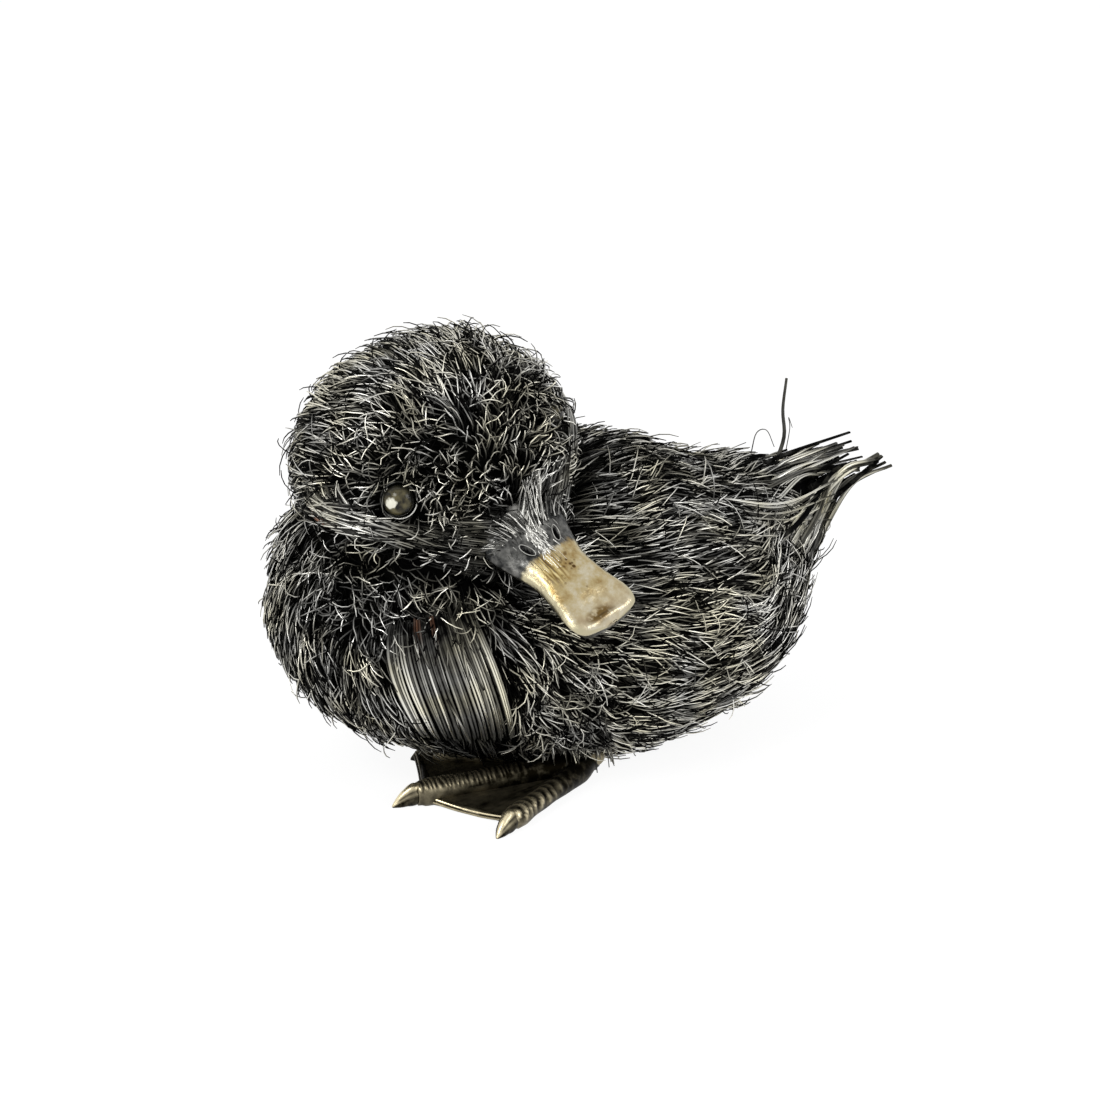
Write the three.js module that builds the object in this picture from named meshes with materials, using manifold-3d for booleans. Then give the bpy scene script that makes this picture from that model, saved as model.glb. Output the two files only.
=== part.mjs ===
// Silver duckling figurine, seated, with its head turned over its left shoulder.
// Raised silver shells make the body and the head, and each carries a coat of soldered wires.
// The bill and the feet are cast, the eyes are glass set in wire rims, and the wings, the cheek
// stripes and the tail are laid from flat silver strip.
// Millimetres, +Z up, breast at -Y, the bird's left at +X, origin on the ground under the belly.

import * as THREE from "three";
import { mergeVertices } from "three/addons/utils/BufferGeometryUtils.js";
import Module from "manifold-3d";

const wasm = await Module();
wasm.setup();

// Seams
const SEAM = 0.3; // solder line between neighbouring pieces
const PARTING_HEIGHT = 24; // where the belly shell meets the back shell
const BIG = 300; // side of a cutting block, larger than the whole figure

// Body skin: ellipsoids that melt into one another
const BODY_MELT = 4;
const TORSO = { x: 0, y: 7.7, z: 23.1, halfWidth: 29.7, halfLength: 40.8, halfHeight: 23.9, tilt: 1 };
const BREAST = { x: 0, y: -25.1, z: 29.1, halfWidth: 26.7, halfLength: 23.9, halfHeight: 20.5, tilt: 0 };
const SHOULDERS = { x: 1, y: 5.9, z: 36.2, halfWidth: 17, halfLength: 22.6, halfHeight: 16.7, tilt: 0 };
const RUMP = { x: 0, y: 41.4, z: 33.5, halfWidth: 10.8, halfLength: 16, halfHeight: 10.8, tilt: 10 };
const NECK = { x: 1.9, y: -26.1, z: 44.6, halfWidth: 19.3, halfLength: 18.6, halfHeight: 16.6, tilt: 0 };
const BODY_HEART = { x: 0, y: 5, z: 27 };
const BODY_FACETS = { around: 32, along: 20 };

// Head skin, in the head's own axes: +X to the bill, +Y to its left, +Z to its crown
const HEAD_MELT = 2;
const HEAD_PLACE = { x: 4.7, y: -24.9, z: 57.5 };
const HEAD_TURN = 104; // degrees from straight ahead, over the left shoulder
const HEAD_NOD = 18; // degrees that the bill points down
const HEAD_TILT = 18; // degrees that the left cheek is raised
const SKULL = { x: 0, y: 0.4, z: -1.4, halfWidth: 22.1, halfLength: 23.3, halfHeight: 18.8, tilt: 0 };
const CHEEKS = { x: 9, y: 0, z: -5, halfWidth: 16, halfLength: 13.5, halfHeight: 12, tilt: 0 };
const HEAD_FACETS = { around: 26, along: 18 };

// Neck seam: a slanting plane through the nape and the throat
const NECK_SEAM = { x: 3.5, y: -24.5, z: 47.5 };
const NECK_LEAN = { x: 0.24, y: -0.12, z: 0.96 };

// Coat wires
const WIRE_LENGTH = 7.6;
const WIRE_THICKNESS = 0.76;
const WIRE_SPACING = 5.2;
const WIRE_CLEARANCE = 0.95; // least distance between the middles of two wires
const WIRE_SINK = 0.7; // how far a root goes into its shell
const WIRE_STAND = 0.32; // height of the tip, as a share of the length
const KNEE_STAND = 0.85; // height of the bend, as a share of the tip's
const KNEE_PLACE = 0.4; // how far along its length a wire bends over
const WIRE_COVER = 0.93; // distance from root to tip over the skin, as a share of the length
const WIRE_END = 0.7; // thickness at the bend, as a share of the root's
const WIRE_SWAY = 0.35; // how far a wire strays from the lie of the coat
const LENGTH_SWAY = 0.15; // how much longer or shorter than the rest a wire may be
const WIRE_SIDES = 3;
const WIRE_SAMPLES = 7;
const COAT_TRIES = 2600;

// Lie of the coat: down over the breast and the cheeks, back along the flanks and the crown
const BREAST_LIE = { from: -34, to: 2, outwards: 0.15, back: 0.3, flankRise: 0.1, bellyRise: -0.2 };
const HEAD_LIE = { from: -6, to: 12, outwards: 0.25, crownRise: 0.15, cheekRise: -0.9 };

// Crest: one long wire that stands up at the root of the tail
const CREST_WIRE = { x: 1.5, y: 47.5, length: 17, thickness: 0.8, lean: 1.6, tipLean: 0.8, sink: 1.8 };

// Eyes
const EYE_BEARING = 53.6; // degrees from the bill, seen from above
const EYE_RISE = 21.7; // degrees above the middle of the head
const EYE_RADIUS = 2.6;
const EYE_DOME = 1.9;
const EYE_GIRDLE = 0.9;
const EYE_RIM_THICKNESS = 0.6;
const EYE_POCKET_DEPTH = 1.1;
const EYE_FACETS = 16;
const EYE_DOME_STEPS = 4;
const EYE_RIM_SIDES = 5;

// Bill: sections measured forward from the face
const BILL_SECTIONS = [
  { out: -6.5, halfWidth: 11.4, edge: -1.6, crown: 6.4, chin: 4.2 },
  { out: -0.5, halfWidth: 9.8, edge: -2.2, crown: 4.8, chin: 3.4 },
  { out: 3.5, halfWidth: 7.4, edge: -3, crown: 3.6, chin: 2.4 },
  { out: 8, halfWidth: 5.6, edge: -3.9, crown: 2.9, chin: 1.7 },
  { out: 12.5, halfWidth: 5.7, edge: -4.6, crown: 2.3, chin: 1.3 },
  { out: 16.5, halfWidth: 6.3, edge: -5, crown: 1.9, chin: 1.1 },
  { out: 18.9, halfWidth: 6, edge: -5.4, crown: 1.5, chin: 0.9 },
  { out: 20.3, halfWidth: 4.4, edge: -5.8, crown: 1.1, chin: 0.7 },
  { out: 21, halfWidth: 1.6, edge: -6.2, crown: 0.6, chin: 0.4 },
];
const BILL_LIP = 0.8;
const BILL_LIP_WIDTH = 0.96; // share of the bill's width under the lip
const BILL_ARC_FACETS = 8;
const LOWER_BILL_SETBACK = 0.92; // share of the upper bill's width
const NOSTRIL = { out: 3.9, aside: 3.1, halfLength: 1.3, halfWidth: 0.55, depth: 0.7 };
const NOSTRIL_FACETS = { around: 10, along: 8 };

// Cheek stripes: fine wires laid side by side under each eye
const CHEEK_WIRES = 5;
const CHEEK_WIDTH = 3.2;
const CHEEK_WIRE_HEIGHT = 0.35;
const CHEEK_ROWS = 8;
const CHEEK_PATH = [
  { bearing: 90, rise: 4 },
  { bearing: 72, rise: 7.4 },
  { bearing: 54, rise: 7 },
  { bearing: 38, rise: 4.4 },
];
// Width at a stripe's ends, and the part of a half wave that its width follows
const CHEEK_TAPER = { end: 0.35, from: 0.12, to: 0.9 };

// Wings: flat strips on a thin backing, from the shoulder down and back over the flank
const WING_STRIPS = 11;
const WING_ROWS = 7;
const WING_BACKING = 0.5;
const WING_STRIP_HEIGHT = 0.6;
const WING_STRIP_EDGES = [0, 0.22, 0.78]; // gap and the two sides of a strip, as shares of its lane
const WING_GAP_LENGTH = 0.93; // share of the wing's length that the gaps reach
const WING_END_SWAY = 0.03; // how much shorter than the rest a strip may be
const WING_FRONT = { top: [-41, 34], bend: [-43, 25.5], end: [-32.5, 13.5] };
const WING_REAR = { top: [-28.5, 36.5], bend: [-22.5, 25], end: [-19.5, 9.5] };

// Tail: strips seated round the top of the rump that gather to a fan
const TAIL_STRIPS = 13;
const TAIL_SPREAD = 205; // degrees of the rump that the roots cover
const TAIL_ROOT_Y = 37;
const TAIL_AXIS_HEIGHT = 33;
const TAIL_REST = { back: 9, down: 1, lift: 0.6 }; // where a strip leaves the rump, from its root
const TAIL_TIP = { y: 64, z: 46 };
const TAIL_FAN_HALF_WIDTH = 9.5;
const TAIL_FAN_DROP = 3.2;
const TAIL_FAN_REACH = 2.4; // how much farther back the outer strips end
const TAIL_STRIP_CLEARANCE = 0.2;
const TAIL_STRIP_WIDTH = 1.7;
const TAIL_TIP_WIDTH = 0.9;
const TAIL_STRIP_THICKNESS = 0.5;
const TAIL_ROWS = 7;

// Feet
const HEEL = { x: 18.6, y: -1, z: 2.4 };
const RIGHT_FOOT_SETBACK = 12;
const RIGHT_FOOT_TURN = 18; // degrees that the right foot is turned out
const TOES = [
  { x: -21.5, y: -24.5 },
  { x: -4.3, y: -37 },
  { x: 15.9, y: -28.1 },
]; // tips of the inner, middle and outer toe, from the heel
const TOE_HEIGHT = 1.5; // middle of a toe above the ground
const TOE_ROOT_RADIUS = 2.3;
const TOE_END_RADIUS = 1.75;
const TOE_RINGS = 9;
const TOE_RING_RELIEF = 0.16;
const TOE_SIDES = 7;
const CLAW_LENGTH = 4.6;
const CLAW_RADIUS = 1.35;
const CLAW_RINGS = [
  { back: 0.9, height: 1, radius: 1 },
  { back: 0.45, height: 0.9, radius: 0.78 },
  { back: 0, height: 0.4, radius: 0 },
]; // shares of the claw's length behind its tip, of the toe's height and of the claw's radius
const WEB_LOW = 0.5;
const WEB_THICKNESS = 0.8;
const WEB_REACH = 0.82; // share of a toe that the web follows
const WEB_HOLLOW = 0.94; // how deep the front edge curves in, as a share of its reach
const WEB_RIM = 0.8;
const WEB_STEPS = 8;
const WEB_RIM_SIDES = 6;
const HEEL_RADIUS = 3.4;
const HEEL_FACETS = { around: 12, along: 8 };
const TOE_CLEARINGS = [0, 0.15, 0.3, 0.5, 0.7, 0.9, 1]; // shares of a toe round which the coat stays away

// Finishes
const finishes = {
  coat: { color: 0x4a4a46, roughness: 0.35, metalness: 0.9 },
  strip: { color: 0x8a8880, roughness: 0.3, metalness: 0.95 },
  gilt: { color: 0xc2ab78, roughness: 0.3, metalness: 0.9 },
  cast: { color: 0x6b6350, roughness: 0.4, metalness: 0.9 },
  glass: { color: 0x4d4c3f, roughness: 0.05, metalness: 0 },
  rim: { color: 0xa5a49c, roughness: 0.25, metalness: 1 },
};

// Geometry shared by every piece
const TINY = 1e-9;
const HALVINGS = 26;
const SKIN_SPAN = 140;
const FEELER = 0.05;
const GOLDEN_TURN = Math.PI * (3 - Math.sqrt(5));

const vec = (x, y, z) => new THREE.Vector3(x, y, z);
const at = ({ x, y, z }) => vec(x, y, z);
const radians = THREE.MathUtils.degToRad;
const mix = THREE.MathUtils.lerp;

// A repeatable value between -1 and 1 for each number
function stray(seed) {
  const raw = Math.sin(seed * 127.1 + 31.7) * 43758.5453;
  return (raw - Math.floor(raw)) * 2 - 1;
}

function form(balls, melt, heart) {
  const shapes = balls.map((ball) => ({
    middle: at(ball),
    radii: vec(ball.halfWidth, ball.halfLength, ball.halfHeight),
    tilt: new THREE.Matrix4().makeRotationX(-radians(ball.tilt)),
  }));
  return { shapes, melt, heart: at(heart) };
}

// Distance from a point to the melted ellipsoids, less than zero inside
function skin(shape, point) {
  const gaps = shape.shapes.map(({ middle, radii, tilt }) => {
    const local = point.clone().sub(middle).applyMatrix4(tilt).divide(radii);
    const size = local.length();
    return (size * (size - 1)) / Math.max(local.divide(radii).length(), TINY);
  });
  const least = Math.min(...gaps);
  const sum = gaps.reduce((total, gap) => total + Math.exp((least - gap) / shape.melt), 0);
  return least - shape.melt * Math.log(sum);
}

function reach(shape, from, direction, level = 0) {
  let near = 0;
  let far = SKIN_SPAN;
  for (let step = 0; step < HALVINGS; step += 1) {
    const middle = (near + far) / 2;
    if (skin(shape, from.clone().addScaledVector(direction, middle)) < level) {
      near = middle;
    } else {
      far = middle;
    }
  }
  return near;
}

function normalAt(shape, point) {
  const slope = (axis) => {
    const ahead = point.clone().addScaledVector(axis, FEELER);
    const behind = point.clone().addScaledVector(axis, -FEELER);
    return skin(shape, ahead) - skin(shape, behind);
  };
  return vec(slope(vec(1, 0, 0)), slope(vec(0, 1, 0)), slope(vec(0, 0, 1))).normalize();
}

function onSkin(shape, from, direction) {
  const point = from.clone().addScaledVector(direction, reach(shape, from, direction));
  return { point, normal: normalAt(shape, point) };
}

// Keeps position only, shares the vertices and drops triangles that have closed up at a pole
function tidy(geometry) {
  geometry.deleteAttribute("normal");
  geometry.deleteAttribute("uv");
  const merged = mergeVertices(geometry, 1e-5);
  const corners = [];
  const index = merged.index.array;
  for (let face = 0; face < index.length; face += 3) {
    const [a, b, c] = [index[face], index[face + 1], index[face + 2]];
    if (a !== b && b !== c && c !== a) {
      corners.push(a, b, c);
    }
  }
  merged.setIndex(corners);
  return merged;
}

function toSolid(geometry) {
  const ready = tidy(geometry);
  const vertProperties = new Float32Array(ready.attributes.position.array);
  const triVerts = new Uint32Array(ready.index.array);
  return new wasm.Manifold(new wasm.Mesh({ numProp: 3, vertProperties, triVerts }));
}

function toGeometry(solid) {
  const mesh = solid.getMesh();
  const geometry = new THREE.BufferGeometry();
  geometry.setAttribute("position", new THREE.BufferAttribute(mesh.vertProperties, 3));
  geometry.setIndex(Array.from(mesh.triVerts));
  return geometry;
}

// Solid of a skin, grown by a level, from a sphere whose poles lie on the bird's length
function skinSolid(shape, facets, level = 0) {
  const ball = new THREE.SphereGeometry(1, facets.around, facets.along);
  const position = ball.attributes.position;
  for (let corner = 0; corner < position.count; corner += 1) {
    const direction = vec().fromBufferAttribute(position, corner).normalize();
    const point = direction.clone().multiplyScalar(reach(shape, shape.heart, direction, level));
    position.setXYZ(corner, ...point.add(shape.heart).toArray());
  }
  return toSolid(ball);
}

// Block that fills everything on the far side of a plane
function blockPast(point, direction) {
  const block = new THREE.BoxGeometry(BIG, BIG, BIG).translate(0, 0, BIG / 2);
  const turn = new THREE.Quaternion().setFromUnitVectors(vec(0, 0, 1), direction.clone().normalize());
  return block.applyQuaternion(turn).translate(point.x, point.y, point.z);
}

// Closed skin over a row of rings, where an end ring of one point makes a tip
function loft(rings) {
  const points = rings.flat();
  const starts = rings.map((ring, row) => rings.slice(0, row).flat().length);
  const corner = (row, column) => starts[row] + (column % rings[row].length);
  const corners = [];
  for (let row = 0; row < rings.length - 1; row += 1) {
    const count = Math.max(rings[row].length, rings[row + 1].length);
    for (let column = 0; column < count; column += 1) {
      const [a, b] = [corner(row, column), corner(row, column + 1)];
      const [c, d] = [corner(row + 1, column + 1), corner(row + 1, column)];
      corners.push(a, b, c, a, c, d);
    }
  }
  const last = rings.length - 1;
  for (let column = 1; column < rings[0].length - 1; column += 1) {
    corners.push(corner(0, 0), corner(0, column + 1), corner(0, column));
  }
  for (let column = 1; column < rings[last].length - 1; column += 1) {
    corners.push(corner(last, 0), corner(last, column), corner(last, column + 1));
  }
  return outward(points, corners);
}

// Indexed geometry with its faces turned out, whichever way its rings run
function outward(points, corners) {
  const kept = [];
  let volume = 0;
  for (let face = 0; face < corners.length; face += 3) {
    const [a, b, c] = corners.slice(face, face + 3);
    if (a !== b && b !== c && c !== a) {
      kept.push([a, b, c]);
      volume += points[a].dot(points[b].clone().cross(points[c]));
    }
  }
  const faces = volume < 0 ? kept.map(([a, b, c]) => [a, c, b]) : kept;
  const geometry = new THREE.BufferGeometry().setFromPoints(points);
  geometry.setIndex(faces.flat());
  return geometry;
}

// Sweep of a section along points, with the section's second axis near each given direction
function sweep(points, ups, sectionAt) {
  const last = points.length - 1;
  const rings = points.map((point, row) => {
    const along = points[Math.min(row + 1, last)].clone().sub(points[Math.max(row - 1, 0)]).normalize();
    const up = ups[row].clone().addScaledVector(along, -ups[row].dot(along)).normalize();
    const side = along.clone().cross(up);
    return sectionAt(row / last).map(([aside, above]) =>
      point.clone().addScaledVector(side, aside).addScaledVector(up, above),
    );
  });
  return loft(rings);
}

function roundSection(radius, sides) {
  return Array.from({ length: sides }, (unused, side) => {
    const angle = (side / sides) * 2 * Math.PI;
    return [radius * Math.cos(angle), radius * Math.sin(angle)];
  });
}

function flatSection(width, thickness) {
  const [aside, above] = [width / 2, thickness / 2];
  return [[-aside, -above], [aside, -above], [aside, above], [-aside, above]];
}

// Closed panel over a grid of skin points, each raised from a low to a high level along its normal
function panel(grid, low, highAt) {
  const columns = grid.length;
  const rows = grid[0].length;
  const points = [];
  for (const side of [0, 1]) {
    grid.forEach((line, column) =>
      line.forEach(({ point, normal }, row) => {
        const level = side === 0 ? low : highAt(column, row);
        points.push(point.clone().addScaledVector(normal, level));
      }),
    );
  }
  const corner = (side, column, row) => side * columns * rows + column * rows + row;
  const corners = [];
  const quad = (a, b, c, d) => corners.push(a, b, c, a, c, d);
  for (let column = 0; column < columns - 1; column += 1) {
    for (let row = 0; row < rows - 1; row += 1) {
      const square = [[column, row], [column + 1, row], [column + 1, row + 1], [column, row + 1]];
      quad(...square.map(([c, r]) => corner(1, c, r)));
      quad(...square.reverse().map(([c, r]) => corner(0, c, r)));
    }
  }
  const run = (count) => Array.from({ length: count }, (unused, step) => step);
  const [lastColumn, lastRow] = [columns - 1, rows - 1];
  const edge = [
    ...run(lastColumn).map((step) => [step, 0]),
    ...run(lastRow).map((step) => [lastColumn, step]),
    ...run(lastColumn).map((step) => [lastColumn - step, lastRow]),
    ...run(lastRow).map((step) => [0, lastRow - step]),
  ];
  edge.forEach((here, step) => {
    const next = edge[(step + 1) % edge.length];
    quad(corner(0, ...here), corner(0, ...next), corner(1, ...next), corner(1, ...here));
  });
  return outward(points, corners);
}

// The figure's two frames
const head = new THREE.Group();
{
  const [turn, nod, tilt] = [radians(HEAD_TURN), radians(HEAD_NOD), radians(HEAD_TILT)];
  const forward = vec(Math.sin(turn) * Math.cos(nod), -Math.cos(turn) * Math.cos(nod), -Math.sin(nod));
  const level = vec(Math.cos(turn), Math.sin(turn), 0);
  const upright = forward.clone().cross(level);
  const left = level.clone().multiplyScalar(Math.cos(tilt)).addScaledVector(upright, Math.sin(tilt));
  const crown = forward.clone().cross(left);
  head.quaternion.setFromRotationMatrix(new THREE.Matrix4().makeBasis(forward, left, crown));
  head.position.copy(at(HEAD_PLACE));
  head.updateMatrixWorld();
}
const headToBody = head.matrixWorld;
const bodyToHead = headToBody.clone().invert();

const duckling = new THREE.Group();
duckling.add(head);

function addPiece(parent, name, geometry, finish) {
  const mesh = new THREE.Mesh(geometry, new THREE.MeshStandardMaterial(finishes[finish]));
  mesh.name = name;
  parent.add(mesh);
}

const bodyForm = form([TORSO, BREAST, SHOULDERS, RUMP, NECK], BODY_MELT, BODY_HEART);
const headForm = form([SKULL, CHEEKS], HEAD_MELT, { x: 0, y: 0, z: 0 });
const neckPoint = at(NECK_SEAM);
const neckNormal = at(NECK_LEAN).normalize();

// Places that the coat leaves free, as balls round the middles of other pieces
const keptClear = [];
function keepClear(points, distance) {
  points.forEach((point) => keptClear.push({ point, distance }));
}
const inBody = (point) => point.clone().applyMatrix4(headToBody);

// Direction from the middle of the head, where side is 1 on its left and -1 on its right
function headDirection(bearing, rise, side) {
  const [turn, lift] = [radians(bearing), radians(rise)];
  return vec(Math.cos(turn) * Math.cos(lift), side * Math.sin(turn) * Math.cos(lift), Math.sin(lift));
}

// Eyes: glass cabochons in pockets of the head, each with a ring of wire round it
const eyePockets = {};
const rimRadius = EYE_RIM_THICKNESS / 2;
const pocketRadius = EYE_RADIUS + EYE_RIM_THICKNESS + 2 * SEAM;

function eyeProfile() {
  const points = [new THREE.Vector2(0, 0), new THREE.Vector2(EYE_RADIUS, 0)];
  for (let step = 0; step <= EYE_DOME_STEPS; step += 1) {
    const angle = (step / EYE_DOME_STEPS) * (Math.PI / 2);
    const radius = step === EYE_DOME_STEPS ? 0 : EYE_RADIUS * Math.cos(angle);
    points.push(new THREE.Vector2(radius, EYE_GIRDLE + EYE_DOME * Math.sin(angle)));
  }
  return points;
}

for (const [side, sign] of [["left", 1], ["right", -1]]) {
  const seat = onSkin(headForm, headForm.heart, headDirection(EYE_BEARING, EYE_RISE, sign));
  const floor = seat.point.clone().addScaledVector(seat.normal, -EYE_POCKET_DEPTH);
  const fromAxis = new THREE.Quaternion().setFromUnitVectors(vec(0, 1, 0), seat.normal);
  const eyeBase = floor.clone().addScaledVector(seat.normal, SEAM);
  const eye = new THREE.LatheGeometry(eyeProfile(), EYE_FACETS);
  eye.applyQuaternion(fromAxis).translate(...eyeBase.toArray());
  addPiece(head, `eye_${side}`, tidy(eye), "glass");

  const rimMiddle = floor.clone().addScaledVector(seat.normal, SEAM + rimRadius);
  const rim = new THREE.TorusGeometry(EYE_RADIUS + SEAM + rimRadius, rimRadius, EYE_RIM_SIDES, EYE_FACETS);
  rim.rotateX(Math.PI / 2).applyQuaternion(fromAxis).translate(...rimMiddle.toArray());
  addPiece(head, `eye_rim_${side}`, tidy(rim), "rim");

  const pocket = new THREE.CylinderGeometry(pocketRadius, pocketRadius, BIG, EYE_FACETS);
  pocket.translate(0, BIG / 2, 0).applyQuaternion(fromAxis).translate(...floor.toArray());
  eyePockets[side] = toSolid(pocket);
  keepClear([inBody(seat.point)], pocketRadius + WIRE_THICKNESS);
}

// Cheek stripes: laid wires that run from under the eye towards the bill
function cheekGrid(sign) {
  const stops = CHEEK_PATH.map(({ bearing, rise }) => vec(bearing, rise, 0));
  const path = new THREE.CatmullRomCurve3(stops);
  const columns = 2 * CHEEK_WIRES + 1;
  return Array.from({ length: columns }, (unused, column) =>
    Array.from({ length: CHEEK_ROWS }, (unusedRow, row) => {
      const share = row / (CHEEK_ROWS - 1);
      const stop = path.getPoint(share);
      const wave = Math.sin(Math.PI * mix(CHEEK_TAPER.from, CHEEK_TAPER.to, share));
      const taper = mix(CHEEK_TAPER.end, 1, wave);
      const aside = (column / (columns - 1) - 0.5) * CHEEK_WIDTH * taper;
      const middle = onSkin(headForm, headForm.heart, headDirection(stop.x, stop.y, sign));
      const upward = vec(0, 0, 1).addScaledVector(middle.normal, -middle.normal.z).normalize();
      const raised = middle.point.clone().addScaledVector(upward, aside);
      return onSkin(headForm, headForm.heart, raised.normalize());
    }),
  );
}

for (const [side, sign] of [["left", 1], ["right", -1]]) {
  const grid = cheekGrid(sign);
  const highAt = (column) => SEAM + (column % 2 === 0 ? CHEEK_WIRE_HEIGHT : 2 * CHEEK_WIRE_HEIGHT);
  addPiece(head, `cheek_stripe_${side}`, panel(grid, SEAM, highAt), "strip");
  grid.forEach((line) => keepClear(line.map(({ point }) => inBody(point)), CHEEK_WIDTH / 2));
}

// Bill: an upper and a lower half that meet along the lips and sit on the face
const face = reach(headForm, headForm.heart, vec(1, 0, 0));
const headGrown = skinSolid(headForm, HEAD_FACETS, SEAM);

function billHalf(sectionOf) {
  const rings = BILL_SECTIONS.map((section) => {
    const ahead = face + section.out;
    return sectionOf(section).map(([aside, above]) => vec(ahead, aside, above));
  });
  return toSolid(loft(rings)).subtract(headGrown);
}

function arc(halfWidth, base, height) {
  return Array.from({ length: BILL_ARC_FACETS + 1 }, (unused, step) => {
    const angle = (step / BILL_ARC_FACETS) * Math.PI;
    return [halfWidth * Math.cos(angle), base + height * Math.sin(angle)];
  });
}

const upperSection = ({ halfWidth, edge, crown }) => {
  const lip = edge - BILL_LIP;
  const lipWidth = halfWidth * BILL_LIP_WIDTH;
  return [...arc(halfWidth, edge, crown), [-lipWidth, lip], [lipWidth, lip]];
};
const lowerSection = ({ halfWidth, edge, chin }) =>
  arc(halfWidth * LOWER_BILL_SETBACK, edge - BILL_LIP - SEAM, -chin);

function nostril(sign) {
  const middle = BILL_SECTIONS[2];
  const height = middle.edge + middle.crown * Math.sqrt(1 - (NOSTRIL.aside / middle.halfWidth) ** 2);
  const hole = new THREE.SphereGeometry(1, NOSTRIL_FACETS.around, NOSTRIL_FACETS.along);
  hole.scale(NOSTRIL.halfLength, NOSTRIL.halfWidth, NOSTRIL.depth);
  return toSolid(hole.translate(face + NOSTRIL.out, sign * NOSTRIL.aside, height));
}

const upperBill = billHalf(upperSection).subtract(nostril(1)).subtract(nostril(-1));
addPiece(head, "bill_upper", toGeometry(upperBill), "gilt");
addPiece(head, "bill_lower", toGeometry(billHalf(lowerSection)), "cast");
for (const section of BILL_SECTIONS) {
  const across = [-1, -0.5, 0, 0.5, 1];
  const middles = across.map((share) => vec(face + section.out, share * section.halfWidth, section.edge));
  keepClear(middles.map(inBody), section.crown + 2 * WIRE_THICKNESS);
}

// Wings: strips side by side on a backing that follows the flank
function bend({ top, bend: turn, end }, share) {
  const [before, after] = [1 - share, share];
  return [0, 1].map((axis) =>
    before * before * top[axis] + 2 * before * after * turn[axis] + after * after * end[axis],
  );
}

function wingGrid(sign) {
  const perStrip = WING_STRIP_EDGES.length;
  const columns = perStrip * WING_STRIPS + 1;
  return Array.from({ length: columns }, (unused, column) =>
    Array.from({ length: WING_ROWS }, (unusedRow, row) => {
      const strip = Math.floor(column / perStrip);
      const inGap = column % perStrip === 0;
      const shortened = inGap ? WING_GAP_LENGTH : 1 - WING_END_SWAY * Math.abs(stray(strip));
      const share = (row / (WING_ROWS - 1)) * shortened;
      const [front, rear] = [bend(WING_FRONT, share), bend(WING_REAR, share)];
      const across = (strip + WING_STRIP_EDGES[column % perStrip]) / WING_STRIPS;
      const [y, z] = [mix(front[0], rear[0], across), mix(front[1], rear[1], across)];
      return onSkin(bodyForm, vec(0, y, z), vec(sign, 0, 0));
    }),
  );
}

for (const [side, sign] of [["left", 1], ["right", -1]]) {
  const grid = wingGrid(sign);
  const inGap = (column) => column % WING_STRIP_EDGES.length === 0;
  const highAt = (column) => SEAM + WING_BACKING + (inGap(column) ? 0 : WING_STRIP_HEIGHT);
  addPiece(duckling, `wing_${side}`, panel(grid, SEAM, highAt), "strip");
  const clearance = 3 * WIRE_THICKNESS + WING_BACKING;
  grid.forEach((line) => keepClear(line.map(({ point }) => point), clearance));
}

// Tail: each strip leaves the rump where it is seated and bends back into the fan
function tailStrip(number) {
  const share = number / (TAIL_STRIPS - 1) - 0.5;
  const angle = radians(share * TAIL_SPREAD);
  const outwards = vec(Math.sin(angle), 0, Math.cos(angle));
  const lift = SEAM + TAIL_STRIP_THICKNESS / 2 + TAIL_STRIP_CLEARANCE;
  const root = onSkin(bodyForm, vec(0, TAIL_ROOT_Y, TAIL_AXIS_HEIGHT), outwards);
  const restY = TAIL_ROOT_Y + TAIL_REST.back;
  const middle = onSkin(bodyForm, vec(0, restY, TAIL_AXIS_HEIGHT - TAIL_REST.down), outwards);
  const start = root.point.clone().addScaledVector(root.normal, lift);
  const resting = middle.point.clone().addScaledVector(middle.normal, lift + TAIL_REST.lift);
  const edgeward = Math.abs(2 * share);
  const tip = vec(
    2 * share * TAIL_FAN_HALF_WIDTH,
    TAIL_TIP.y + TAIL_FAN_REACH * edgeward + stray(number),
    TAIL_TIP.z - TAIL_FAN_DROP * edgeward ** 2,
  );
  const lane = new THREE.CatmullRomCurve3([start, resting, tip]);
  const points = lane.getPoints(TAIL_ROWS - 1);
  const ups = points.map((point, row) => root.normal.clone().lerp(outwards, row / (TAIL_ROWS - 1)));
  const width = (along) => mix(TAIL_STRIP_WIDTH, TAIL_TIP_WIDTH, along);
  keepClear(points, TAIL_STRIP_WIDTH);
  return sweep(points, ups, (along) => flatSection(width(along), TAIL_STRIP_THICKNESS));
}

for (let number = 0; number < TAIL_STRIPS; number += 1) {
  const name = `tail_strip_${String(number + 1).padStart(2, "0")}`;
  addPiece(duckling, name, tailStrip(number), "strip");
}

// Feet: ringed toes with claws, joined by a web with a raised rim, cut to the belly above them
function toe({ x, y }, sign) {
  const length = Math.hypot(x, y);
  const out = vec((sign * x) / length, y / length, 0);
  const heel = vec(0, 0, HEEL.z);
  const knuckle = out.clone().multiplyScalar(length - CLAW_LENGTH).setZ(TOE_HEIGHT);
  const points = [];
  const radii = [];
  for (let ring = 0; ring <= TOE_RINGS; ring += 1) {
    const share = ring / TOE_RINGS;
    const relief = ring % 2 ? TOE_RING_RELIEF : -TOE_RING_RELIEF;
    points.push(heel.clone().lerp(knuckle, share));
    radii.push(mix(TOE_ROOT_RADIUS, TOE_END_RADIUS, share) + relief);
  }
  for (const { back, height, radius } of CLAW_RINGS) {
    points.push(out.clone().multiplyScalar(length - CLAW_LENGTH * back).setZ(TOE_HEIGHT * height));
    radii.push(CLAW_RADIUS * radius);
  }
  const last = points.length - 1;
  return sweep(points, points.map(() => vec(0, 0, 1)), (along) => {
    const radius = radii[Math.round(along * last)];
    return radius === 0 ? [[0, 0]] : roundSection(radius, TOE_SIDES);
  });
}

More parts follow.
